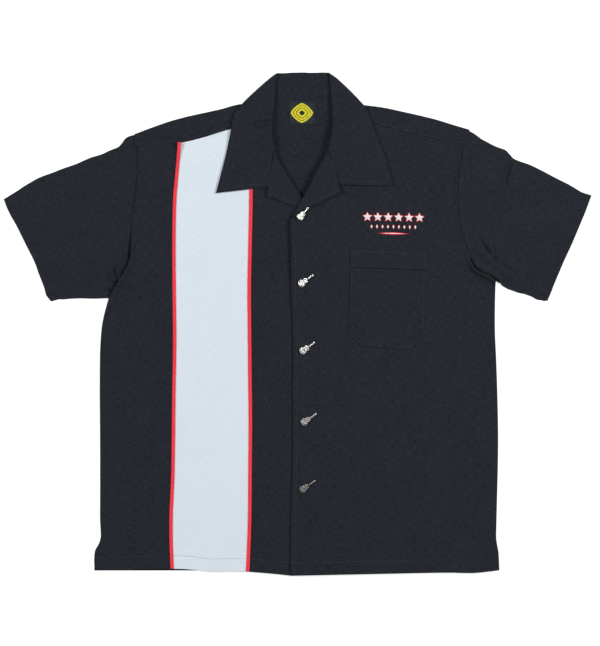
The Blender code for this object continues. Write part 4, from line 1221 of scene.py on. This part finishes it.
buttonSizes = dict(thickness=2.0, rim=0.62, recess=0.3, shank=1.2, frets=9,
                   pickups=[((6.3, 7.4), 1.6, 0.15, 0.12), ((2.9, 4.0), 1.6, 0.15, 0.12),
                            ((-0.3, 0.35), 1.9, 0.2, 0.1), ((-2.6, -1.9), 1.5, 0.15, 0.1)],
                   knobs=[(-1.6, -3.5), (0.6, -3.8), (-3.3, -2.5)],
                   places=[(4.5, 168.5, 49), (7.0, 64, 37), (9.0, -42, 36), (11.0, -154, 34),
                           (9.0, -260, 36)],
                   shortened=[0.86, 1.0, 1.0, 1.0, 1.0],
                   finishes=["castMetal", "castMetal", "castMetal", "wornMetal", "dulledMetal"],
                   outline=[(-5.9, 0), (-5.3, 2.9), (-3.3, 5.0), (-0.2, 5.8), (2.4, 5.0), (4.2, 3.8),
                            (5.8, 3.8), (7.6, 4.3), (9.3, 3.5), (10.3, 1.6), (10.4, -0.6), (9.2, -1.6),
                            (8.8, -2.6), (9.7, -3.9), (8.4, -4.3), (6.4, -4.0), (4.2, -3.8), (2.4, -5.0),
                            (-0.2, -5.8), (-3.3, -5.0), (-5.3, -2.9), (-5.9, 0)])


def bar(bm, x, half, z, bevel=0.0, taper=1.0, y=0.0):
    # a block between two x and two z, half on each side of y, narrower at its far end if taper is under 1
    made = bmesh.ops.create_cube(bm, size=1.0)["verts"]
    for vert in made:
        width = taper if vert.co.x > 0 else 1.0
        vert.co = Vector((sum(x) / 2 + vert.co.x * (x[1] - x[0]), y + vert.co.y * width * 2 * half,
                          sum(z) / 2 + vert.co.z * (z[1] - z[0])))
    if bevel:
        edges = {edge for vert in made for edge in vert.link_edges}
        bmesh.ops.bevel(bm, geom=list(edges), offset=bevel, segments=2, profile=0.5, affect="EDGES",
                        material=-1)


def stud(bm, x, y, z, radius, slot=0, segments=16):
    place = Matrix.Translation((x, y, sum(z) / 2))
    made = bmesh.ops.create_cone(bm, cap_ends=True, segments=segments, radius1=radius, radius2=radius * 0.85,
                                 depth=z[1] - z[0], matrix=place)["verts"]
    for face in {face for vert in made for face in vert.link_faces}:
        face.material_index = slot


def guitarMesh():
    sizes = buttonSizes
    top, below = sizes["thickness"], sizes["thickness"] - 0.3 * sizes["recess"] - 0.2
    bm = bmesh.new()
    outline = evenly(curved(sizes["outline"], 240), 65)[:-1]
    verts = bmesh.ops.create_circle(bm, cap_ends=True, segments=64, radius=1.0)["verts"]
    for vert, (x, y) in zip(verts, outline[::-1]):
        vert.co = (x, y, 0.0)
    made = bmesh.ops.extrude_face_region(bm, geom=bm.faces[:])["geom"]
    raised = [item for item in made if isinstance(item, bmesh.types.BMVert)]
    bmesh.ops.translate(bm, verts=raised, vec=(0.0, 0.0, top))
    bmesh.ops.recalc_face_normals(bm, faces=bm.faces)
    rimEdges = [e for e in bm.edges if all(v.co.z > top - 0.01 for v in e.verts)]
    bmesh.ops.bevel(bm, geom=rimEdges, offset=0.3, segments=3, profile=0.5, affect="EDGES", material=-1)
    face = max(bm.faces, key=lambda f: f.calc_center_median().z + f.calc_area() * 0.01)
    bmesh.ops.inset_region(bm, faces=[face], thickness=sizes["rim"], use_even_offset=True)
    inner = bmesh.ops.inset_region(bm, faces=[face], thickness=0.22, depth=-sizes["recess"])["faces"]
    plate = bmesh.ops.inset_region(bm, faces=[face], thickness=0.35, use_even_offset=True)["faces"]
    bmesh.ops.inset_region(bm, faces=[face], thickness=0.18, depth=sizes["recess"] * 0.8)
    for part in inner + plate:
        part.material_index = 1
    bar(bm, (9.2, 19.4), 1.2, (top - 1.3, top + 0.1), bevel=0.25, taper=0.9)        # neck
    bar(bm, (18.9, 22.8), 1.2, (top - 1.3, top - 0.05), bevel=0.3, taper=1.1)       # head
    for k in range(sizes["frets"]):
        x = 10.2 + 8.4 * (1 - 0.88 ** k) / (1 - 0.88 ** sizes["frets"])
        bar(bm, (x, x + 0.2), 1.0, (top + 0.05, top + 0.17))
    for k in range(3):
        for way in (-1, 1):
            stud(bm, 19.9 + 1.1 * k, way * 1.5, (top - 1.0, top - 0.25), 0.3, segments=8)
    for x, half, rise, bevel in sizes["pickups"]:
        bar(bm, x, half, (below, top + rise), bevel=bevel)
    for x, y in sizes["knobs"]:
        stud(bm, x, y, (below, top + 0.25), 0.55, segments=12)
    stud(bm, 1.6, 0.0, (below - 0.05, below + 0.26), 1.5, slot=1)
    stud(bm, -2.6, -2.3, (below - 0.05, below + 0.27), 1.2, slot=1)
    for y in (-0.75, -0.25, 0.25, 0.75):
        bar(bm, (-2.2, 19.2), 0.05, (top + 0.13, top + 0.22), y=y)
    stud(bm, 1.5, 0.0, (-sizes["shank"], 0.05), 1.6)
    bmesh.ops.scale(bm, verts=bm.verts, vec=(mm, mm, mm))
    return meshOf(bm, "guitarButton")


def makeButtons():
    pattern = guitarMesh()
    for number, (x, y, turn) in enumerate(buttonSizes["places"], 1):
        mesh = pattern.copy()
        mesh.name = f"button{number}"
        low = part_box(f"button_{number}")[0][2]
        place = Matrix.Translation((x * mm, y * mm, low)) @ Matrix.Rotation(math.radians(turn), 4, "Z")
        mesh.transform(place @ Matrix.Diagonal((buttonSizes["shortened"][number - 1], 1.0, 1.0, 1.0)))
        mesh.materials.append(finishes[buttonSizes["finishes"][number - 1]])
        mesh.materials.append(finishes["darkEnamel"])
        mesh.set_sharp_from_angle(angle=0.6)
        dressed(placed(f"guitarButton{number}", mesh), "button_metal", f"button_{number}")


makeButtons()
print("buttons made")


# Stitches: a short bead of thread for each, sunk halfway into the cloth.

stitchSizes = dict(pitch=2.7, length=2.05, width=0.42, height=0.34)
broadStitchSizes = dict(pitch=2.7, length=2.45, width=0.62, height=0.5)
# the light and hem rows use the black thread whose lighter grey colour is painted sheen
stitching = dict(light=("topstitching", "sheenPaintedThread", stitchSizes),
                 hem=("hemStitching", "sheenPaintedThread", stitchSizes),
                 black=("labelStitching", "blackThread", stitchSizes),
                 plain=("panelHemStitching", "blackThread", broadStitchSizes))


def beads(name, places, finish, segments=(6, 5)):
    # a ball for each place, stretched by it; made in small lots, because a large bmesh is slow to add to
    whole = bmesh.new()
    for start in range(0, len(places), 40):
        lot = bmesh.new()
        for place in places[start:start + 40]:
            bmesh.ops.create_uvsphere(lot, u_segments=segments[0], v_segments=segments[1], radius=1.0,
                                      matrix=Matrix.Scale(mm, 4) @ place)
        mesh = meshOf(lot, "lot")
        whole.from_mesh(mesh)
        bpy.data.meshes.remove(mesh)
    dressed(finished(name, meshOf(whole, name), finishes[finish]), "black_cloth")


offPiece, step = 0.6, 1.2       # no stitch ends lower than this, or has its ends further apart in height


def sew(kind):
    name, finish, sizes = stitching[kind]
    places = []
    for line, surface in [seam[:2] for seam in seams if seam[2] == kind]:
        plane = np.asarray(line)[:, :2]
        total = np.linalg.norm(np.diff(plane, axis=0), axis=1).sum()
        points = evenly(plane, max(2, round(total / sizes["pitch"]) + 1))
        for a, b in zip(points, points[1:]):
            b = a + (b - a) * (sizes["length"] / sizes["pitch"])
            ends = [Vector((*p, heightOn([surface], *p) + clothThickness / 2)) for p in (a, b)]
            if min(ends[0].z, ends[1].z) < offPiece or abs(ends[0].z - ends[1].z) > step:
                continue
            turn = (ends[1] - ends[0]).to_track_quat("X", "Z").to_matrix().to_4x4()
            size = Matrix.Diagonal((sizes["length"] / 2, sizes["width"] / 2, sizes["height"] / 2, 1))
            places.append(Matrix.Translation((ends[0] + ends[1]) / 2) @ turn @ size)
    beads(name, places, finish)


for side, lapel in lapels.items():
    inwards = -collarSizes["stitch"] if side == "Left" else collarSizes["stitch"]
    seams.append((offsetLine(evenly(lapel.outline[:, :2], 60), inwards), "lapel" + side, "light"))
for kind in stitching:
    sew(kind)

buttonholeSizes = dict(length=20.0, above=15.5, width=2.2, pitch=0.75, bead=0.5)


def makeButtonholes():
    # two rows of close stitches and a bar at each end
    sizes = buttonholeSizes
    places = []
    for x, y, turn in buttonSizes["places"]:
        x, top = x + 0.8, y + sizes["above"]
        spots = [(x + way * sizes["width"] / 2, top - step * sizes["pitch"], 0.85, sizes["bead"])
                 for way in (-1, 1) for step in range(int(sizes["length"] / sizes["pitch"]))]
        spots += [(x, top + 0.4, sizes["width"], 1.0), (x, top - sizes["length"] - 0.2, sizes["width"], 1.0)]
        for sx, sy, long, wide in spots:
            z = heightOn(["frontLeft"], sx, sy) + clothThickness / 2
            size = Matrix.Diagonal((long * 0.75, wide * 0.62, 0.3, 1))
            places.append(Matrix.Translation((sx, sy, z)) @ size)
    beads("buttonholes", places, "blackThread", (6, 4))


makeButtonholes()


# Embroidery over the pocket: a row of stars, a row of diamonds and a tapering bar.

embroiderySizes = dict(centre=151.0, starsY=168.0, starStep=16.4, stars=6, starRadius=7.4,
                       dotsY=153.0, dotStep=8.6, dots=9, dotRadius=2.9,
                       barY=142.5, barLength=50.0, barWidth=4.2, outline=1.25, rise=0.42, fall=-0.018)


def motif(bm, x, y, radius, points, depth, low, high, stretch=1.0):
    # a star or a diamond with a rounded top
    verts = bmesh.ops.create_circle(bm, cap_ends=True, segments=points * 2, radius=radius)["verts"]
    for k, vert in enumerate(verts):
        reach = radius * (depth if k % 2 else 1.0)
        angle = math.pi / 2 + k * math.pi / points
        vert.co = (x + reach * math.cos(angle) * stretch, y + reach * math.sin(angle), low)
    face = next(iter(verts[0].link_faces))
    top = bmesh.ops.extrude_face_region(bm, geom=[face])["geom"]
    raised = [v for v in top if isinstance(v, bmesh.types.BMVert)]
    bmesh.ops.translate(bm, verts=raised, vec=(0, 0, (high - low) * 0.6))
    crown = [f for f in top if isinstance(f, bmesh.types.BMFace)]
    bmesh.ops.inset_region(bm, faces=crown, thickness=min(0.45, radius * 0.12), depth=(high - low) * 0.4)


def strip(bm, x, y, length, width, low, high):
    # a bar that narrows to both ends
    made = bmesh.ops.create_grid(bm, x_segments=24, y_segments=4, size=0.5)["verts"]
    for vert in made:
        share = vert.co.x * 2
        across = vert.co.y * 2
        wide = width / 2 * (1 - abs(share) ** 1.6)
        crown = (high - low) * (1 - across ** 2) ** 0.5
        vert.co = (x + share * length / 2, y + across * wide, low + crown)


def makeEmbroidery():
    sizes = embroiderySizes
    layers = {"embroideryRed": bmesh.new(), "embroideryWhite": bmesh.new()}
    for name, bm in layers.items():
        red = name == "embroideryRed"
        grow, low, high = (sizes["outline"], 0.0, sizes["rise"]) if red else (0.0, 0.0, sizes["rise"] + 0.25)
        for k in range(sizes["stars"]):
            x = sizes["centre"] + (k - (sizes["stars"] - 1) / 2) * sizes["starStep"]
            radius = sizes["starRadius"] + grow if red else sizes["starRadius"] - 0.2
            motif(bm, x, sizes["starsY"], radius, 5, 0.5 if red else 0.47, low, high)
        for k in range(sizes["dots"]):
            x = sizes["centre"] + (k - (sizes["dots"] - 1) / 2) * sizes["dotStep"]
            motif(bm, x, sizes["dotsY"], sizes["dotRadius"] + grow * 0.8, 2, 0.6, low, high, 0.9)
        strip(bm, sizes["centre"], sizes["barY"], sizes["barLength"] * (1 if red else 0.8),
              sizes["barWidth"] + (0.6 if red else -2.2), low, high)
        bmesh.ops.recalc_face_normals(bm, faces=bm.faces)
        for vert in bm.verts:
            x, y, z = vert.co
            y += sizes["fall"] * (x - sizes["centre"])
            vert.co = Vector((x, y, z + heightOn(["frontLeft"], x, y) + clothThickness / 2 - 0.12)) * mm
        piece = finished(name, meshOf(bm, name), finishes["redThread" if red else "whiteThread"])
        piece.data.set_sharp_from_angle(angle=0.9)
        dressed(piece, "red_piping" if red else "pale_cloth")


makeEmbroidery()
print("stitches, buttonholes and embroidery made:", len(seams), "rows of stitches")


# Floor, lights and camera.

roomSizes = dict(floor=6.0, floorColour=0.5, glow=0.75, skyStrength=0.2,
                 viewHeight=646 * 1.576, viewX=3.94, viewY=1.576, lens=180.0, sensor=36.0,
                 lights=[("rightLight", (3.1, 0.9, 2.5), 1.2, 109), ("leftLight", (-3.1, 0.7, 2.5), 1.2, 82),
                         ("topLight", (0.1, 0.9, 5.5), 1.0, 28)])


def makeRoom():
    sizes = roomSizes
    bm = bmesh.new()
    bmesh.ops.create_grid(bm, x_segments=1, y_segments=1, size=sizes["floor"])
    bmesh.ops.translate(bm, verts=bm.verts, vec=(0.0, 0.0, -0.0001))
    floor = placed("floor", meshOf(bm, "floor"))
    floorFinish = Finish("floorPaint", Base_Color=rgba([sizes["floorColour"]] * 3), Roughness=0.9,
                         Specular_IOR_Level=0.0, Emission_Color=(1, 1, 1, 1), Emission_Strength=sizes["glow"])
    floor.data.materials.append(floorFinish.material)
    for name, place, size, power in sizes["lights"]:
        data = bpy.data.lights.new(name, "AREA")
        data.shape = "DISK"
        data.size, data.energy = size, power
        light = placed(name, data)
        light.location = place
        light.rotation_mode = "QUATERNION"
        light.rotation_quaternion = Vector(place).to_track_quat("Z", "Y")
    world = bpy.data.worlds.new("room")
    bpy.context.scene.world = world
    world.use_nodes = True
    sky = world.node_tree.nodes["Background"]
    sky.inputs["Color"].default_value = (1, 1, 1, 1)
    sky.inputs["Strength"].default_value = sizes["skyStrength"]
    camera = placed("camera", bpy.data.cameras.new("camera"))
    bpy.context.scene.camera = camera
    camera.data.lens, camera.data.sensor_width = sizes["lens"], sizes["sensor"]
    camera.data.clip_end = 50
    distance = sizes["viewHeight"] * mm * sizes["lens"] / sizes["sensor"]
    camera.location = (sizes["viewX"] * mm, sizes["viewY"] * mm, distance)
    bpy.context.scene.view_settings.view_transform = "Standard"


makeRoom()
